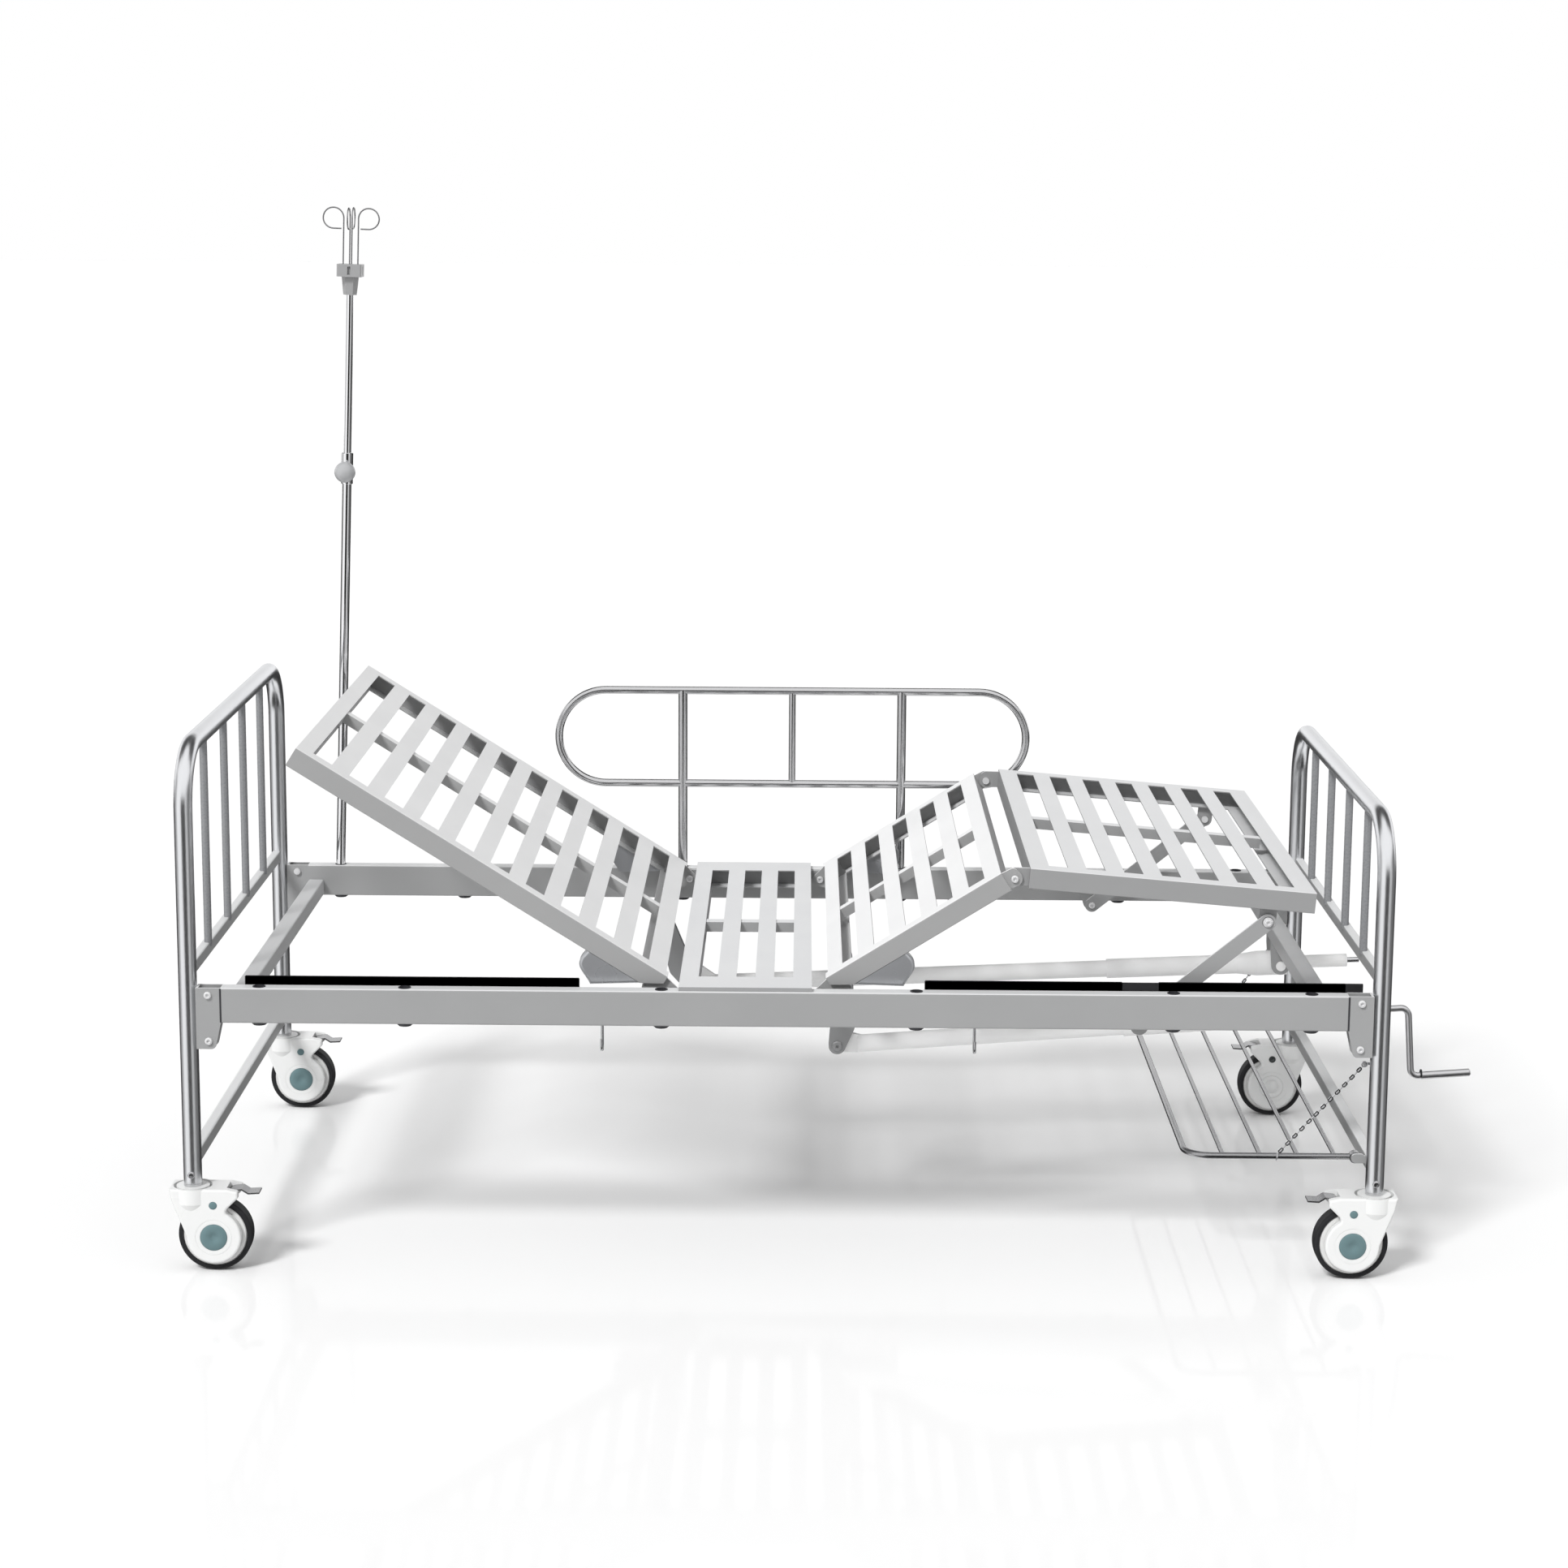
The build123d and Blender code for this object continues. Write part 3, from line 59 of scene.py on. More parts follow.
# node groups that the materials share; each gives a colour, a roughness and a height
def newGroup(name, inputs):
    group = bpy.data.node_groups.new(name, "ShaderNodeTree")
    for label, value in inputs.items():
        kind = "NodeSocketFloat" if isinstance(value, float) else "NodeSocketColor"
        socket = group.interface.new_socket(name=label, in_out="INPUT", socket_type=kind)
        socket.default_value = value
    for label, kind in (("Colour", "Color"), ("Roughness", "Float"), ("Height", "Float")):
        group.interface.new_socket(name=label, in_out="OUTPUT", socket_type="NodeSocket" + kind)
    start = group.nodes.new("NodeGroupInput")
    end = group.nodes.new("NodeGroupOutput")
    start.location, end.location = (-900, 0), (700, 0)
    return group, start, end


def addNode(tree, kind, place, **values):
    # in_Some_Name sets the input Some Name; any other name sets a property of the node
    node = tree.nodes.new(kind)
    node.location = place
    for key, value in values.items():
        if key.startswith("in_"):
            node.inputs[key.removeprefix("in_").replace("_", " ")].default_value = value
        else:
            setattr(node, key, value)
    return node


def tone(red, green, blue):
    return (red, green, blue, 1.0)


def grey(level):
    return tone(level, level, level)


def blend(group, place, factor, first, second):
    # runs from the first colour to the second as the factor grows
    mix = addNode(group, "ShaderNodeMix", place, data_type="RGBA")
    group.links.new(factor, mix.inputs["Factor"])
    group.links.new(first, mix.inputs[colourA])
    group.links.new(second, mix.inputs[colourB])
    return mix.outputs[colourOut]


def unevenGloss(group, place, noise, base):
    # base roughness plus a share of the noise; the share goes into input 1 of the node given back
    rough = addNode(group, "ShaderNodeMath", place, operation="MULTIPLY_ADD")
    group.links.new(noise, rough.inputs[0])
    group.links.new(base, rough.inputs[2])
    return rough


# sideShadeFrom and sideShadeTo are the upward normal heights over which the painted side shade fades out
paintLook = {"cloudDetail": 3.0, "cloudFrom": 0.35, "cloudTo": 0.65, "peelDetail": 1.0, "speckScale": 240.0,
             "speckDetail": 4.0, "speckShare": 0.12, "sideShadeFrom": 0.35, "sideShadeTo": 0.8}


def paintGroup():
    # powder coat: slight tone clouds, fine orange peel, and painted shade that darkens the faces that don't look up
    look = paintLook
    group, start, end = newGroup("powderCoat", {
        "Colour": grey(0.7), "Shade": grey(0.6), "Cloud Scale": 5.0, "Peel Scale": 900.0,
        "Side Shade": 0.6, "Gloss": 0.36})
    links = group.links
    coord = addNode(group, "ShaderNodeTexCoord", (-900, -300))
    cloud = addNode(group, "ShaderNodeTexNoise", (-650, 150), in_Detail=look["cloudDetail"])
    peel = addNode(group, "ShaderNodeTexNoise", (-650, -150), in_Detail=look["peelDetail"])
    speck = addNode(group, "ShaderNodeTexNoise", (-650, -420), in_Scale=look["speckScale"],
                    in_Detail=look["speckDetail"])
    links.new(coord.outputs["Object"], cloud.inputs["Vector"])
    links.new(coord.outputs["Object"], peel.inputs["Vector"])
    links.new(coord.outputs["Object"], speck.inputs["Vector"])
    links.new(start.outputs["Cloud Scale"], cloud.inputs["Scale"])
    links.new(start.outputs["Peel Scale"], peel.inputs["Scale"])
    ramp = addNode(group, "ShaderNodeMapRange", (-430, 150), in_From_Min=look["cloudFrom"],
                   in_From_Max=look["cloudTo"])
    links.new(cloud.outputs["Fac"], ramp.inputs["Value"])
    clouded = blend(group, (-150, 200), ramp.outputs["Result"], start.outputs["Shade"], start.outputs["Colour"])
    rough = unevenGloss(group, (-150, -250), speck.outputs["Fac"], start.outputs["Gloss"])
    rough.inputs[1].default_value = look["speckShare"]
    # painted shade: the colour is scaled from full on upward faces down to the Side Shade share on sideways and
    # downward faces
    split = addNode(group, "ShaderNodeSeparateXYZ", (-650, 400))
    upward = addNode(group, "ShaderNodeMapRange", (-430, 400), in_From_Min=look["sideShadeFrom"],
                     in_From_Max=look["sideShadeTo"], in_To_Max=1.0, interpolation_type="SMOOTHSTEP")
    links.new(coord.outputs["Normal"], split.inputs[0])
    links.new(split.outputs["Z"], upward.inputs["Value"])
    links.new(start.outputs["Side Shade"], upward.inputs["To Min"])
    sideShaded = addNode(group, "ShaderNodeVectorMath", (250, 200), operation="SCALE")
    links.new(clouded, sideShaded.inputs[0])
    links.new(upward.outputs["Result"], sideShaded.inputs["Scale"])
    links.new(sideShaded.outputs[0], end.inputs["Colour"])
    links.new(rough.outputs[0], end.inputs["Roughness"])
    links.new(peel.outputs["Fac"], end.inputs["Height"])
    return group


metalLook = {"streakDetail": 2.0, "smudgeScale": 7.0, "smudgeDetail": 5.0, "smudgeRoughness": 0.6}


def metalGroup():
    # drawn or polished tube: long fine streaks, faint smudges
    look = metalLook
    group, start, end = newGroup("drawnMetal", {
        "Colour": grey(0.7), "Streak": grey(0.6), "Across": 500.0, "Along": 14.0,
        "Gloss": 0.2, "Smudge": 0.1})
    links = group.links
    coord = addNode(group, "ShaderNodeTexCoord", (-1100, 0))
    scale = addNode(group, "ShaderNodeCombineXYZ", (-1100, -250))
    links.new(start.outputs["Across"], scale.inputs["X"])
    links.new(start.outputs["Across"], scale.inputs["Y"])
    links.new(start.outputs["Along"], scale.inputs["Z"])
    stretch = addNode(group, "ShaderNodeVectorMath", (-900, -150), operation="MULTIPLY")
    links.new(coord.outputs["Object"], stretch.inputs[0])
    links.new(scale.outputs[0], stretch.inputs[1])
    streak = addNode(group, "ShaderNodeTexNoise", (-650, 100), in_Scale=1.0, in_Detail=look["streakDetail"])
    links.new(stretch.outputs[0], streak.inputs["Vector"])
    smudge = addNode(group, "ShaderNodeTexNoise", (-650, -200), in_Scale=look["smudgeScale"],
                     in_Detail=look["smudgeDetail"], in_Roughness=look["smudgeRoughness"])
    links.new(coord.outputs["Object"], smudge.inputs["Vector"])
    streaked = blend(group, (-200, 200), streak.outputs["Fac"], start.outputs["Colour"], start.outputs["Streak"])
    rough = unevenGloss(group, (-200, -200), smudge.outputs["Fac"], start.outputs["Gloss"])
    links.new(start.outputs["Smudge"], rough.inputs[1])
    links.new(streaked, end.inputs["Colour"])
    links.new(rough.outputs[0], end.inputs["Roughness"])
    links.new(streak.outputs["Fac"], end.inputs["Height"])
    return group


mouldedLook = {"driftScale": 12.0, "driftDetail": 3.0, "driftShare": 0.15}


def mouldedGroup():
    # moulded plastic or rubber: fine grain, slight tone drift
    look = mouldedLook
    group, start, end = newGroup("mouldedGrain", {
        "Colour": grey(0.7), "Shade": grey(0.6), "Grain Scale": 700.0, "Gloss": 0.4})
    links = group.links
    coord = addNode(group, "ShaderNodeTexCoord", (-900, -300))
    grain = addNode(group, "ShaderNodeTexVoronoi", (-650, -100))
    drift = addNode(group, "ShaderNodeTexNoise", (-650, 200), in_Scale=look["driftScale"],
                    in_Detail=look["driftDetail"])
    links.new(coord.outputs["Object"], grain.inputs["Vector"])
    links.new(coord.outputs["Object"], drift.inputs["Vector"])
    links.new(start.outputs["Grain Scale"], grain.inputs["Scale"])
    drifted = blend(group, (-200, 200), drift.outputs["Fac"], start.outputs["Colour"], start.outputs["Shade"])
    rough = unevenGloss(group, (-200, -200), drift.outputs["Fac"], start.outputs["Gloss"])
    rough.inputs[1].default_value = look["driftShare"]
    links.new(drifted, end.inputs["Colour"])
    links.new(rough.outputs[0], end.inputs["Roughness"])
    links.new(grain.outputs["Distance"], end.inputs["Height"])
    return group


groups = {"paint": paintGroup(), "metal": metalGroup(), "moulded": mouldedGroup()}
print("stage: node groups ready")


def finishMaterial(name, group, values, shader, relief):
    # the group's values vary over the surface; the shader's own stay the same all over
    strength, depth = relief
    material = bpy.data.materials.new(name)
    material.use_nodes = True
    tree = material.node_tree
    principled = tree.nodes["Principled BSDF"]
    for key, value in shader.items():
        principled.inputs[key].default_value = value
    surface = addNode(tree, "ShaderNodeGroup", (-420, 120), node_tree=groups[group])
    for key, value in values.items():
        surface.inputs[key].default_value = value
    bump = addNode(tree, "ShaderNodeBump", (-200, -200), in_Strength=strength, in_Distance=depth)
    tree.links.new(surface.outputs["Colour"], principled.inputs["Base Color"])
    tree.links.new(surface.outputs["Roughness"], principled.inputs["Roughness"])
    tree.links.new(surface.outputs["Height"], bump.inputs["Height"])
    tree.links.new(bump.outputs["Normal"], principled.inputs["Normal"])
    return material


# for each finish: its node group, the group's values, the shader's own values, the relief's strength and depth
finishes = {
    # the Side Shade value of each paint is painted shade: the share of its colour left on faces that don't look up
    "seatPaint": ("paint", {"Colour": tone(0.73, 0.735, 0.74), "Shade": tone(0.70, 0.705, 0.715), "Gloss": 0.40,
                            "Side Shade": 0.47},
                  {"Metallic": 0.0, "Specular IOR Level": 0.1}, (0.05, 0.0004)),
    # painted light: a paler copy of the deck enamel that makes the back and thigh sections look more brightly lit
    "backPaintPaintedLight": ("paint", {"Colour": tone(0.86, 0.862, 0.865), "Shade": tone(0.83, 0.832, 0.836), "Gloss": 0.40,
                            "Side Shade": 0.41},
                  {"Metallic": 0.0, "Specular IOR Level": 0.15}, (0.05, 0.0004)),
    "legPaint": ("paint", {"Colour": tone(0.74, 0.744, 0.75), "Shade": tone(0.72, 0.724, 0.73), "Gloss": 0.50,
                           "Side Shade": 0.43},
                 {"Metallic": 0.0, "Specular IOR Level": 0.02}, (0.05, 0.0004)),
    "framePaint": ("paint", {"Colour": tone(0.74, 0.745, 0.75), "Shade": tone(0.71, 0.715, 0.72), "Gloss": 0.36,
                             "Side Shade": 0.48},
                   {"Metallic": 0.0, "Specular IOR Level": 0.3}, (0.05, 0.0004)),
    "crossPaint": ("paint", {"Colour": tone(0.62, 0.624, 0.63), "Shade": tone(0.59, 0.594, 0.60), "Gloss": 0.36,
                             "Side Shade": 0.85},
                   {"Metallic": 0.0, "Specular IOR Level": 0.3}, (0.05, 0.0004)),
    "barPaint": ("paint", {"Colour": tone(0.27, 0.275, 0.285), "Shade": tone(0.25, 0.255, 0.265), "Gloss": 0.22,
                           "Side Shade": 1.0},
                 {"Metallic": 0.0, "Specular IOR Level": 0.5}, (0.05, 0.0004)),
    "jackPaint": ("paint", {"Colour": tone(0.96, 0.96, 0.955), "Shade": tone(0.94, 0.94, 0.94), "Gloss": 0.4,
                            "Side Shade": 0.98},
                  {"Metallic": 0.0, "Specular IOR Level": 0.2}, (0.05, 0.0004)),
    "satinSteel": ("metal", {"Colour": tone(0.86, 0.87, 0.89), "Streak": tone(0.84, 0.85, 0.87), "Gloss": 0.27,
                             "Smudge": 0.05}, {"Metallic": 1.0}, (0.004, 0.00005)),
    "chrome": ("metal", {"Colour": tone(0.93, 0.93, 0.94), "Streak": tone(0.89, 0.89, 0.91), "Gloss": 0.05,
                         "Smudge": 0.03}, {"Metallic": 1.0}, (0.01, 0.0001)),
    "zinc": ("metal", {"Colour": tone(0.66, 0.66, 0.67), "Streak": tone(0.60, 0.60, 0.62), "Gloss": 0.14},
             {"Metallic": 1.0}, (0.04, 0.0002)),
    "hookSteel": ("metal", {"Colour": tone(0.44, 0.44, 0.45), "Streak": tone(0.38, 0.38, 0.39), "Gloss": 0.22},
                  {"Metallic": 1.0}, (0.03, 0.0002)),
    "guardSteel": ("metal", {"Colour": tone(0.66, 0.66, 0.67), "Streak": tone(0.62, 0.62, 0.63), "Gloss": 0.16,
                             "Smudge": 0.04}, {"Metallic": 1.0}, (0.004, 0.00005)),
    "gripSteel": ("metal", {"Colour": tone(0.74, 0.74, 0.75), "Streak": tone(0.68, 0.68, 0.69), "Gloss": 0.32},
                  {"Metallic": 1.0}, (0.03, 0.0002)),
    "boltSteel": ("metal", {"Colour": tone(0.93, 0.93, 0.935), "Streak": tone(0.88, 0.88, 0.89), "Gloss": 0.28},
                  {"Metallic": 0.35}, (0.04, 0.0002)),
    # painted shade: the near-black finish of the rings, discs and grooves that stand for shade
    "paintedShadeBlack": ("metal", {"Colour": tone(0.035, 0.035, 0.037), "Streak": tone(0.025, 0.025, 0.027), "Gloss": 0.4},
                    {"Metallic": 0.2}, (0.04, 0.0002)),
    "coverPlastic": ("moulded", {"Colour": tone(0.50, 0.51, 0.53), "Shade": tone(0.46, 0.47, 0.49), "Gloss": 0.22},
                     {"Metallic": 0.55, "Coat Weight": 0.3, "Coat Roughness": 0.12}, (0.01, 0.0001)),
    "greyPlastic": ("moulded", {"Colour": tone(0.46, 0.465, 0.475), "Shade": tone(0.42, 0.425, 0.435), "Gloss": 0.16},
                    {"Metallic": 0.0}, (0.04, 0.0003)),
    "headPlastic": ("moulded", {"Colour": tone(0.38, 0.38, 0.385), "Shade": tone(0.34, 0.34, 0.345), "Gloss": 0.22},
                    {"Metallic": 0.0}, (0.04, 0.0003)),
    "darkPlastic": ("moulded", {"Colour": tone(0.05, 0.05, 0.055), "Shade": tone(0.035, 0.035, 0.04), "Gloss": 0.4},
                    {"Metallic": 0.0}, (0.05, 0.0003)),
    "rubber": ("moulded", {"Colour": tone(0.025, 0.025, 0.027), "Shade": tone(0.018, 0.018, 0.02), "Gloss": 0.5},
               {"Metallic": 0.0, "Specular IOR Level": 0.25}, (0.08, 0.0004)),
    "casterWhite": ("moulded", {"Colour": tone(0.85, 0.855, 0.85), "Shade": tone(0.83, 0.835, 0.83), "Gloss": 0.22},
                    {"Metallic": 0.0}, (0.02, 0.0002)),
    "hubWhite": ("moulded", {"Colour": tone(0.78, 0.78, 0.77), "Shade": tone(0.74, 0.74, 0.73), "Gloss": 0.35},
                 {"Metallic": 0.0}, (0.03, 0.0002)),
    "screwGrey": ("metal", {"Colour": tone(0.10, 0.11, 0.11), "Streak": tone(0.07, 0.08, 0.08), "Gloss": 0.35},
                  {"Metallic": 0.6}, (0.03, 0.0002)),
    "capTeal": ("moulded", {"Colour": tone(0.145, 0.235, 0.25), "Shade": tone(0.13, 0.215, 0.23), "Gloss": 0.35},
                {"Metallic": 0.0}, (0.03, 0.0002)),
}
materials = {name: finishMaterial(name, *spec) for name, spec in finishes.items()}

slotFinish = {
    "arch_steel": "satinSteel", "frame_enamel": "framePaint", "deck_enamel": "seatPaint", "jack_enamel": "jackPaint",
    "zinc_steel": "zinc", "chrome_steel": "chrome", "cover_plastic": "coverPlastic", "grey_plastic": "greyPlastic",
    "dark_plastic": "darkPlastic", "black_rubber": "rubber", "caster_plastic": "casterWhite",
    "hub_plastic": "hubWhite", "tyre_rubber": "rubber"}
nodeFinish = {   # pieces whose finish differs from the usual one of their slot
    "board_bars": "barPaint", "frame_bolts": "boltSteel", "leg_bolts": "boltSteel", "pole_head": "headPlastic",
    "pole_hooks": "hookSteel", "shelf_rack": "hookSteel", "shelf_chains": "chrome", "guard_rail": "guardSteel",
    "crank_handle": "gripSteel", "crank_grip": "gripSteel", "cross_members": "crossPaint",
    # the back and thigh sections take the paler copy of the deck enamel, which is painted light
    "back_frame": "backPaintPaintedLight", "back_slats": "backPaintPaintedLight", "thigh_frame": "backPaintPaintedLight", "thigh_slats": "backPaintPaintedLight",
    "leg_frame": "legPaint", "leg_slats": "legPaint"}
nodeFinish.update(("caster_" + name + "_pedal", "hookSteel") for name in casterNames)

for part in frame["record"]["subparts"]:
    name = part["node"]
    chosen = nodeFinish.get(name, slotFinish[part["material_slot"]])
    nodes[name].data.materials.clear()
    nodes[name].data.materials.append(materials[chosen])
print("stage: materials on", len(nodes), "nodes")


def linkMesh(name, mesh):
    piece = bpy.data.objects.new(name, mesh)
    bpy.context.scene.collection.objects.link(piece)
    return piece


def dress(piece, finish, body):
    piece.data.materials.append(materials[finish])
    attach(piece, body)


def lathe(name, profile, segments, axis):
    # profile holds radius and height, spun round the axis
    mesh = bpy.data.meshes.new(name)
    bm = bmesh.new()
    rings = []
    for radius, height in profile:
        if radius == 0:
            rings.append([bm.verts.new((0, 0, height))])
            continue
        ring = []
        for step in range(segments):
            turn = 2 * math.pi * step / segments
            ring.append(bm.verts.new((radius * math.cos(turn), radius * math.sin(turn), height)))
        rings.append(ring)
    for low, high in zip(rings, rings[1:]):
        for step in range(segments):
            after = (step + 1) % segments
            corners = [low[step % len(low)], low[after % len(low)], high[after % len(high)], high[step % len(high)]]
            unique = list(dict.fromkeys(corners))
            if len(unique) > 2:
                bm.faces.new(unique)
    bmesh.ops.recalc_face_normals(bm, faces=bm.faces)
    bm.to_mesh(mesh)
    bm.free()
    for face in mesh.polygons:
        face.use_smooth = True
    piece = linkMesh(name, mesh)
    piece.rotation_euler = Vector((0, 0, 1)).rotation_difference(Vector(axis)).to_euler()
    return piece


# rim is the flat width that an edge is rounded over; a groove is a share of the cap's radius, inner edge first
casterLook = {"segments": 48, "coverHalf": 0.031, "sunk": 0.0009,
              "capRadius": 0.0228, "capRise": 0.0012, "capWall": 0.4, "capRim": 0.0012, "capCrown": 0.0003,
              "dimple": 0.006, "dimpleRim": 0.001, "dimpleDepth": 0.0006,
              "grooveBottom": (0.56, 0.60), "grooveEdge": (0.54, 0.62), "grooveHeight": 0.0004,
              "grooveRises": (0.0013, 0.0012), "ringedTaper": 0.0002, "ringedWall": 0.0004,
              "ringedShoulder": 0.0009, "ringedCrown": 0.0016,
              "dotRadius": 0.0066, "dotUp": 0.056, "buttonWall": 0.0002, "buttonRim": 0.0015,
              "buttonRise": 0.0008, "buttonCrown": 0.0010,
              "screwWall": 0.0004, "screwRim": 0.001, "screwRise": 0.0007, "driveEdge": 0.55, "driveRadius": 0.5,
              "driveDepth": 0.0006}


def casterDisc(name, caster, side, up, profile, finish):
    # a turned disc in a recess of the cover; side is 1 or -1 along Y
    look = casterLook
    wheel = jointPoint("caster_" + caster + "_roll")
    disc = lathe(name + "_" + caster + ("_far" if side > 0 else "_near"), profile, look["segments"], (0, side, 0))
    disc.location = (wheel.x, wheel.y + side * look["coverHalf"], wheel.z + up)
    dress(disc, finish, "caster_" + caster)


def capProfile(look):
    # teal wheel cap with a dimple in the middle
    radius, rise, dimple = look["capRadius"], look["capRise"], look["dimple"]
    bottom = rise - look["dimpleDepth"]
    return [(radius, -look["sunk"]), (radius, rise * look["capWall"]), (radius - look["capRim"], rise),
            (dimple + look["dimpleRim"], rise + look["capCrown"]), (dimple, bottom), (0, bottom)]


def ringedProfile(look):
    # white wheel cap with a turned groove
    radius, (innerEdge, outerEdge), (inner, outer) = look["capRadius"], look["grooveEdge"], look["grooveBottom"]
    innerRise, outerRise = look["grooveRises"]
    return [(radius, -look["sunk"]), (radius - look["ringedTaper"], look["ringedWall"]),
            (radius - look["capRim"], look["ringedShoulder"]), (radius * outerEdge, outerRise),
            (radius * outer, look["grooveHeight"]), (radius * inner, look["grooveHeight"]),
            (radius * innerEdge, innerRise), (0, look["ringedCrown"])]


def buttonProfile(look):
    dot = look["dotRadius"]
    return [(dot, -look["sunk"]), (dot, look["buttonWall"]), (dot - look["buttonRim"], look["buttonRise"]),
            (0, look["buttonCrown"])]


def screwProfile(look):
    dot = look["dotRadius"]
    return [(dot, -look["sunk"]), (dot, look["screwWall"]), (dot - look["screwRim"], look["screwRise"]),
            (dot * look["driveEdge"], look["screwRise"]), (dot * look["driveRadius"], -look["driveDepth"]),
            (0, -look["driveDepth"])]


def casterDiscs(caster):
    # the outer side has a cap and a button; the inner side differs between head and foot casters
    look = casterLook
    up = look["dotUp"]
    outer = -1 if "near" in caster else 1
    casterDisc("cap", caster, outer, 0, capProfile(look), "capTeal")
    casterDisc("button", caster, outer, up, buttonProfile(look), "capTeal")
    if "head" in caster:
        casterDisc("innerCap", caster, -outer, 0, capProfile(look), "capTeal")
        casterDisc("innerButton", caster, -outer, up, buttonProfile(look), "capTeal")
    else:
        casterDisc("innerCap", caster, -outer, 0, ringedProfile(look), "casterWhite")
        casterDisc("screw", caster, -outer, up, screwProfile(look), "screwGrey")


for caster in casterNames:
    casterDiscs(caster)
print("stage: caster caps")


def islands(mesh):
    # the separate shells of a CAD node, as lists of points
    root = list(range(len(mesh.vertices)))

    def top(index):
        while root[index] != index:
            root[index] = root[root[index]]
            index = root[index]
        return index

    for edge in mesh.edges:
        first, second = top(edge.vertices[0]), top(edge.vertices[1])
        if first != second:
            root[first] = second
    shells = {}
    for vertex in mesh.vertices:
        shells.setdefault(top(vertex.index), []).append(vertex.co)
    return list(shells.values())


# socket is the part of a head that keeps its radius; slim is what stays of the rest
boltLook = {"socket": 0.0034, "slim": 0.52, "smallest": 0.0058, "largest": 0.0085, "shortest": 0.012,
            "headWall": 0.96, "segments": 32,
            "shadeRingBore": 0.9, "shadeRingReach": 1.32, "shadeRingLift": 0.0002, "shadeRingRise": 0.0014,
            "shadeRingChamfer": (0.0004, 0.0003),
            "pitRadius": 0.0031, "pitDepth": 0.0020, "pitSunk": 0.0008, "pitCrown": 0.0001}


def boltDisc(name, profile, place, side, body):
    disc = lathe(name, profile, boltLook["segments"], (0, side, 0))
    disc.location = place
    dress(disc, "paintedShadeBlack", body)


def slimHead(shell, centre, look):
    # draws the points in towards the bolt's axis and gives the radius that is left
    for point in shell:
        across = Vector((point.x - centre.x, 0, point.z - centre.z))
        if across.length > look["socket"]:
            across *= (look["socket"] + (across.length - look["socket"]) * look["slim"]) / across.length
            point.x, point.z = centre.x + across.x, centre.z + across.z
    return max(math.hypot(point.x - centre.x, point.z - centre.z) for point in shell)


def slimBolts(node, body):
    # the bolts again with slimmer button heads, a near-black ring of painted shade round each head and a near-black
    # disc of painted shade in each drive recess
    look = boltLook
    rise, pit = look["shadeRingRise"], look["pitRadius"]
    chamferAcross, chamferUp = look["shadeRingChamfer"]
    mesh = nodes[node].data.copy()
    mesh.name = node + "_slim"
    for count, shell in enumerate(islands(mesh)):
        spans = [(min(point[axis] for point in shell), max(point[axis] for point in shell)) for axis in range(3)]
        centre = Vector([(low + high) / 2 for low, high in spans])
        radius = slimHead(shell, centre, look)
        low, high = spans[1]
        if high - low < look["shortest"] or not look["smallest"] < radius < look["largest"]:
            continue
        # the rim of the head tells which way the bolt faces
        wall = [point.y for point in shell
                if math.hypot(point.x - centre.x, point.z - centre.z) > radius * look["headWall"]]
        side = 1 if sum(wall) / len(wall) > centre.y else -1
        seat = min(wall) if side > 0 else max(wall)
        tip = high if side > 0 else low
        # painted shade: a near-black ring round the head stands for its contact shadow
        bore, reach = radius * look["shadeRingBore"], radius * look["shadeRingReach"]
        shadeRing = [(bore, look["shadeRingLift"]), (reach, look["shadeRingLift"]), (reach, rise - chamferUp),
                  (reach - chamferAcross, rise), (bore, rise)]
        # painted shade: a near-black disc sunk in the head's drive recess
        recess = [(pit, -look["pitSunk"]), (pit, 0), (0, look["pitCrown"])]
        boltDisc("shadeRing_" + node + "_" + str(count), shadeRing, (centre.x, seat, centre.z), side, body)
        boltDisc("recess_" + node + "_" + str(count), recess,
                 (centre.x, tip - side * look["pitDepth"], centre.z), side, body)
    bolts = linkMesh(node + "_slim", mesh)
    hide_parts(node)
    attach(bolts, body)


slimBolts("frame_bolts", "frame")
slimBolts("leg_bolts", "leg_section")
print("stage: bolts")


def roundedBlock(name, low, high, edge):
    # a block from corner to corner with small rounded edges
    mesh = bpy.data.meshes.new(name)
    bm = bmesh.new()
    bmesh.ops.create_cube(bm, size=1.0)
    for vertex in bm.verts:
        for axis in range(3):
            vertex.co[axis] = low[axis] if vertex.co[axis] < 0 else high[axis]
    bmesh.ops.bevel(bm, geom=bm.edges[:], offset=edge, segments=2, profile=0.6, affect="EDGES")
    bm.to_mesh(mesh)
    bm.free()
    return linkMesh(name, mesh)


seamLook = {"width": 0.0030, "rise": 0.0006, "sunk": 0.003, "inset": 0.001, "edge": 0.0003}


def beamSeams():
    # a dark plastic strip that paints the shade of the joint where each side beam meets its end brackets
    look = seamLook
    low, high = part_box("side_beams")
    half = look["width"] / 2
    for end, x in (("head", low[0]), ("foot", high[0])):
        for side, y in (("near", low[1]), ("far", high[1])):
            outward = -1 if side == "near" else 1
            outer, inner = y + outward * look["rise"], y - outward * look["sunk"]
            seam = roundedBlock("seam_" + end + "_" + side,
                                (x - half, min(outer, inner), low[2] + look["inset"]),
                                (x + half, max(outer, inner), high[2] - look["inset"]), look["edge"])
            # painted shade in the joint, in the dark plastic finish
            dress(seam, "darkPlastic", "frame")


beamSeams()
print("stage: seams")

stripLook = {"bridgeLongest": 0.1, "bridgeThick": 0.002, "bridgeLap": 0.001, "bridgeEdge": 0.0004,
             "endLength": 0.030, "endLap": 0.002, "endEdge": 0.0006}


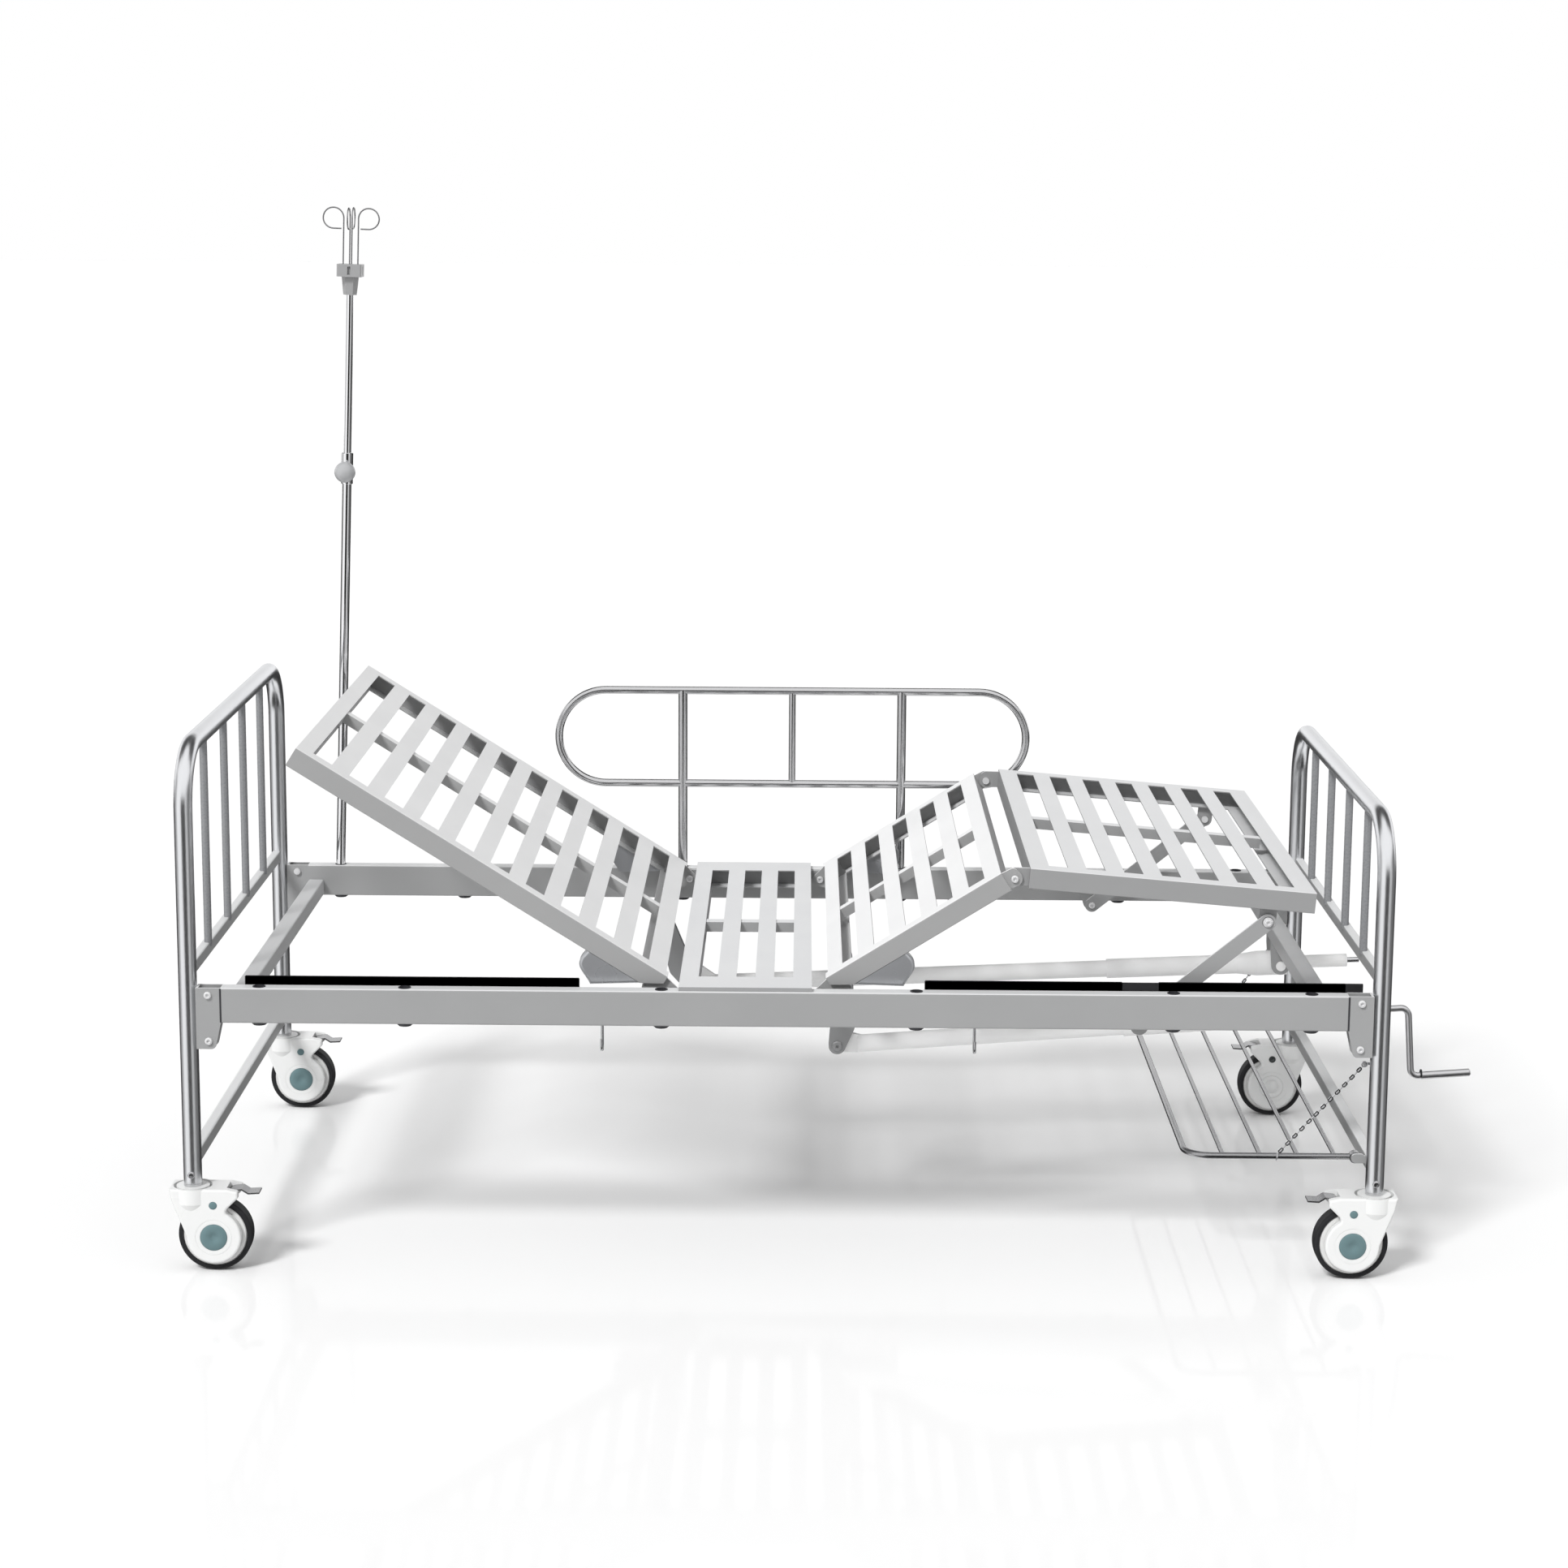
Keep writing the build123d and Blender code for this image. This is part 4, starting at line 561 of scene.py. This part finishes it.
def stripPieces():
    # the rubber strip runs on behind the strut foot and the foot bracket
    look = stripLook
    lap = look["bridgeLap"]
    low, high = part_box("buffer_strips")
    runs = sorted((min(point.x for point in shell), max(point.x for point in shell))
                  for shell in islands(nodes["buffer_strips"].data))
    for before, after in zip(runs, runs[1:]):
        if after[0] - before[1] < look["bridgeLongest"]:
            bridge = roundedBlock("stripBridge", (before[1] - lap, low[1], low[2]),
                                  (after[0] + lap, low[1] + look["bridgeThick"], high[2]), look["bridgeEdge"])
            dress(bridge, "rubber", "frame")
    stripEnd = roundedBlock("stripEnd", (high[0] - look["endLap"], low[1], low[2]),
                            (high[0] + look["endLength"], high[1], high[2]), look["endEdge"])
    dress(stripEnd, "rubber", "frame")


stripPieces()
print("stage: strip pieces")

ringLook = {"width": 0.0028, "rise": 0.0012, "bore": 0.7, "edge": 0.0004, "segments": 32}


def gripRing():
    # a near-black ring that paints the shade of the groove between the crank and its turning grip
    look = ringLook
    low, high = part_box("crank_grip")
    radius = (high[1] - low[1]) / 2
    width, edge = look["width"], look["edge"]
    outer, bore = radius + look["rise"], radius * look["bore"]
    profile = [(bore, 0), (outer - edge, 0), (outer, edge), (outer, width - edge), (outer - edge, width),
               (bore, width)]
    ring = lathe("gripRing", profile, look["segments"], (1, 0, 0))
    ring.location = (low[0] - width / 2, (low[1] + high[1]) / 2, (low[2] + high[2]) / 2)
    dress(ring, "paintedShadeBlack", "crank_grip")


gripRing()
print("stage: grip ring")

studio = {"horizon": 0.42, "zenith": 0.66, "sunPower": 2.2, "sunFrom": (-0.38, -0.62, 0.69), "sunSoftness": 14.0}


def buildWorld():
    # what the camera and mirrors see is white; soft light comes from a dome that brightens upwards
    world = bpy.data.worlds.new("studioWorld")
    bpy.context.scene.world = world
    world.use_nodes = True
    tree = world.node_tree
    tree.nodes.clear()
    path = addNode(tree, "ShaderNodeLightPath", (-900, 200))
    cameraOrMirror = addNode(tree, "ShaderNodeMath", (-650, 200), operation="MAXIMUM")
    straight = addNode(tree, "ShaderNodeMath", (-450, 150), operation="MAXIMUM")
    tree.links.new(path.outputs["Is Camera Ray"], cameraOrMirror.inputs[0])
    tree.links.new(path.outputs["Is Glossy Ray"], cameraOrMirror.inputs[1])
    tree.links.new(cameraOrMirror.outputs[0], straight.inputs[0])
    tree.links.new(path.outputs["Is Transmission Ray"], straight.inputs[1])
    coord = addNode(tree, "ShaderNodeTexCoord", (-1100, -200))
    split = addNode(tree, "ShaderNodeSeparateXYZ", (-900, -200))
    dome = addNode(tree, "ShaderNodeMapRange", (-700, -200), in_From_Min=0.0, in_From_Max=1.0,
                   in_To_Min=studio["horizon"], in_To_Max=studio["zenith"])
    ambient = addNode(tree, "ShaderNodeBackground", (-450, -50), in_Color=grey(1.0))
    tree.links.new(coord.outputs["Generated"], split.inputs[0])
    tree.links.new(split.outputs["Z"], dome.inputs["Value"])
    tree.links.new(dome.outputs["Result"], ambient.inputs["Strength"])
    white = addNode(tree, "ShaderNodeBackground", (-450, -200), in_Color=grey(1.0), in_Strength=1.0)
    mix = addNode(tree, "ShaderNodeMixShader", (-150, 0))
    output = addNode(tree, "ShaderNodeOutputWorld", (100, 0))
    tree.links.new(straight.outputs[0], mix.inputs[0])
    tree.links.new(ambient.outputs[0], mix.inputs[1])
    tree.links.new(white.outputs[0], mix.inputs[2])
    tree.links.new(mix.outputs[0], output.inputs[0])


def bareMaterial(name):
    material = bpy.data.materials.new(name)
    material.use_nodes = True
    material.node_tree.nodes.clear()
    return material, material.node_tree


floorLook = {"half": 60.0, "sunk": 0.0005, "tone": 1.0, "toneDrift": 0.995, "driftScale": 1.5, "bounce": 0.85,
             "mirror": 0.08, "mirrorRoughness": 0.06}


def floorMaterial():
    # the camera sees a white floor with the object's soft shadow and a faint mirror image of it
    # other rays see plain diffuse white, and its tone sets how much light the floor gives back
    look = floorLook
    material, tree = bareMaterial("floorWhite")
    noise = addNode(tree, "ShaderNodeTexNoise", (-900, 200), in_Scale=look["driftScale"])
    drift = addNode(tree, "ShaderNodeMix", (-700, 200), data_type="RGBA")
    drift.inputs[colourA].default_value = grey(look["tone"])
    drift.inputs[colourB].default_value = grey(look["tone"] * look["toneDrift"])
    tree.links.new(noise.outputs["Fac"], drift.inputs["Factor"])
    shadowed = addNode(tree, "ShaderNodeBsdfDiffuse", (-450, 200))
    tree.links.new(drift.outputs[colourOut], shadowed.inputs["Color"])
    gloss = addNode(tree, "ShaderNodeBsdfGlossy", (-450, -80), in_Roughness=look["mirrorRoughness"])
    mirror = addNode(tree, "ShaderNodeMixShader", (-50, 100))
    mirror.inputs[0].default_value = look["mirror"]
    tree.links.new(shadowed.outputs[0], mirror.inputs[1])
    tree.links.new(gloss.outputs[0], mirror.inputs[2])
    bounce = addNode(tree, "ShaderNodeBsdfDiffuse", (-250, -250), in_Color=grey(look["bounce"]))
    path = addNode(tree, "ShaderNodeLightPath", (-250, 450))
    choose = addNode(tree, "ShaderNodeMixShader", (200, 100))
    output = addNode(tree, "ShaderNodeOutputMaterial", (400, 100))
    tree.links.new(path.outputs["Is Camera Ray"], choose.inputs[0])
    tree.links.new(bounce.outputs[0], choose.inputs[1])
    tree.links.new(mirror.outputs[0], choose.inputs[2])
    tree.links.new(choose.outputs[0], output.inputs[0])
    return material


def buildFloor():
    mesh = bpy.data.meshes.new("floor")
    half, level = floorLook["half"], -floorLook["sunk"]
    corners = ((-half, -half), (half, -half), (half, half), (-half, half))
    mesh.from_pydata([(x, y, level) for x, y in corners], [], [(0, 1, 2, 3)])
    floor = linkMesh("floor", mesh)
    mesh.materials.append(floorMaterial())
    floor.visible_glossy = False   # metal shows the white surroundings and the cards instead


# sheets far away that only reflections see; they draw the lines on round tubes
# azimuth and height are in degrees, azimuth from the front towards the foot end
cardLook = {"distance": 25.0, "centre": 0.6, "steps": 12}
cards = {
    "frontCard": {"azimuth": (-20, 32), "height": (-25, 14), "tone": 0.03},
    "lowCard": {"azimuth": (-70, 70), "height": (-88, -27), "tone": 0.01},
    "leftCard": {"azimuth": (-106, -74), "height": (-30, 24), "tone": 0.40},
    "innerRightCard": {"azimuth": (40, 62), "height": (-30, 24), "tone": 0.55},
    "rightCard": {"azimuth": (62, 106), "height": (-30, 24), "tone": 0.15},
    "backLowCard": {"azimuth": (106, 254), "height": (-45, -2), "tone": 0.03},
    "backHighCard": {"azimuth": (100, 260), "height": (26, 66), "tone": 0.04}}


def cardMaterial(name, strength):
    material, tree = bareMaterial(name)
    glow = addNode(tree, "ShaderNodeEmission", (0, 0), in_Strength=strength)
    output = addNode(tree, "ShaderNodeOutputMaterial", (200, 0))
    tree.links.new(glow.outputs[0], output.inputs[0])
    return material


def buildCard(name, look):
    # a piece of a sphere round the object, a grid of steps by steps faces
    distance, steps = cardLook["distance"], cardLook["steps"]
    (left, right), (bottom, top) = look["azimuth"], look["height"]
    points, faces = [], []
    for column in range(steps + 1):
        turn = math.radians(left + (right - left) * column / steps)
        for row in range(steps + 1):
            rise = math.radians(bottom + (top - bottom) * row / steps)
            flat = math.cos(rise) * distance
            points.append((math.sin(turn) * flat, -math.cos(turn) * flat,
                           cardLook["centre"] + math.sin(rise) * distance))
    for column in range(steps):
        for row in range(steps):
            corner = column * (steps + 1) + row
            faces.append((corner, corner + 1, corner + steps + 2, corner + steps + 1))
    mesh = bpy.data.meshes.new(name)
    mesh.from_pydata(points, [], faces)
    mesh.materials.append(cardMaterial(name, look["tone"]))
    card = linkMesh(name, mesh)
    card.visible_camera = card.visible_diffuse = card.visible_shadow = card.visible_transmission = False


def buildSun():
    lamp = bpy.data.lights.new("sun", "SUN")
    lamp.energy = studio["sunPower"]
    lamp.angle = math.radians(studio["sunSoftness"])
    sun = bpy.data.objects.new("sun", lamp)
    bpy.context.scene.collection.objects.link(sun)
    sun.rotation_euler = Vector(studio["sunFrom"]).to_track_quat("Z", "Y").to_euler()
    sun.visible_glossy = False   # metal shows the cards, without a bright spot


# in degrees: yaw turns to the right, pitch looks up, roll lifts the right side
view = {"place": (-0.0639, -5.868, 1.843), "yaw": -0.2885, "pitch": -10.533, "roll": 0.3644, "lens": 75.83,
        "sensor": 36.0, "farthest": 200.0}


def buildCamera():
    optics = bpy.data.cameras.new("camera")
    optics.lens = view["lens"]
    optics.sensor_width = view["sensor"]
    optics.sensor_fit = "HORIZONTAL"
    optics.clip_end = view["farthest"]
    camera = bpy.data.objects.new("camera", optics)
    bpy.context.scene.collection.objects.link(camera)
    yaw, pitch, roll = (math.radians(view[key]) for key in ("yaw", "pitch", "roll"))
    ahead = Vector((math.sin(yaw) * math.cos(pitch), math.cos(yaw) * math.cos(pitch), math.sin(pitch)))
    right = Vector((math.cos(yaw), -math.sin(yaw), 0))
    up = right.cross(ahead)
    right, up = (math.cos(roll) * right + math.sin(roll) * up, -math.sin(roll) * right + math.cos(roll) * up)
    turn = Matrix((right, up, -ahead)).transposed()
    camera.matrix_world = Matrix.Translation(view["place"]) @ turn.to_4x4()
    bpy.context.scene.camera = camera


buildWorld()
buildFloor()
buildSun()
for card, look in cards.items():
    buildCard(card, look)
buildCamera()
bpy.context.scene.view_settings.view_transform = "Standard"
print("stage: studio")
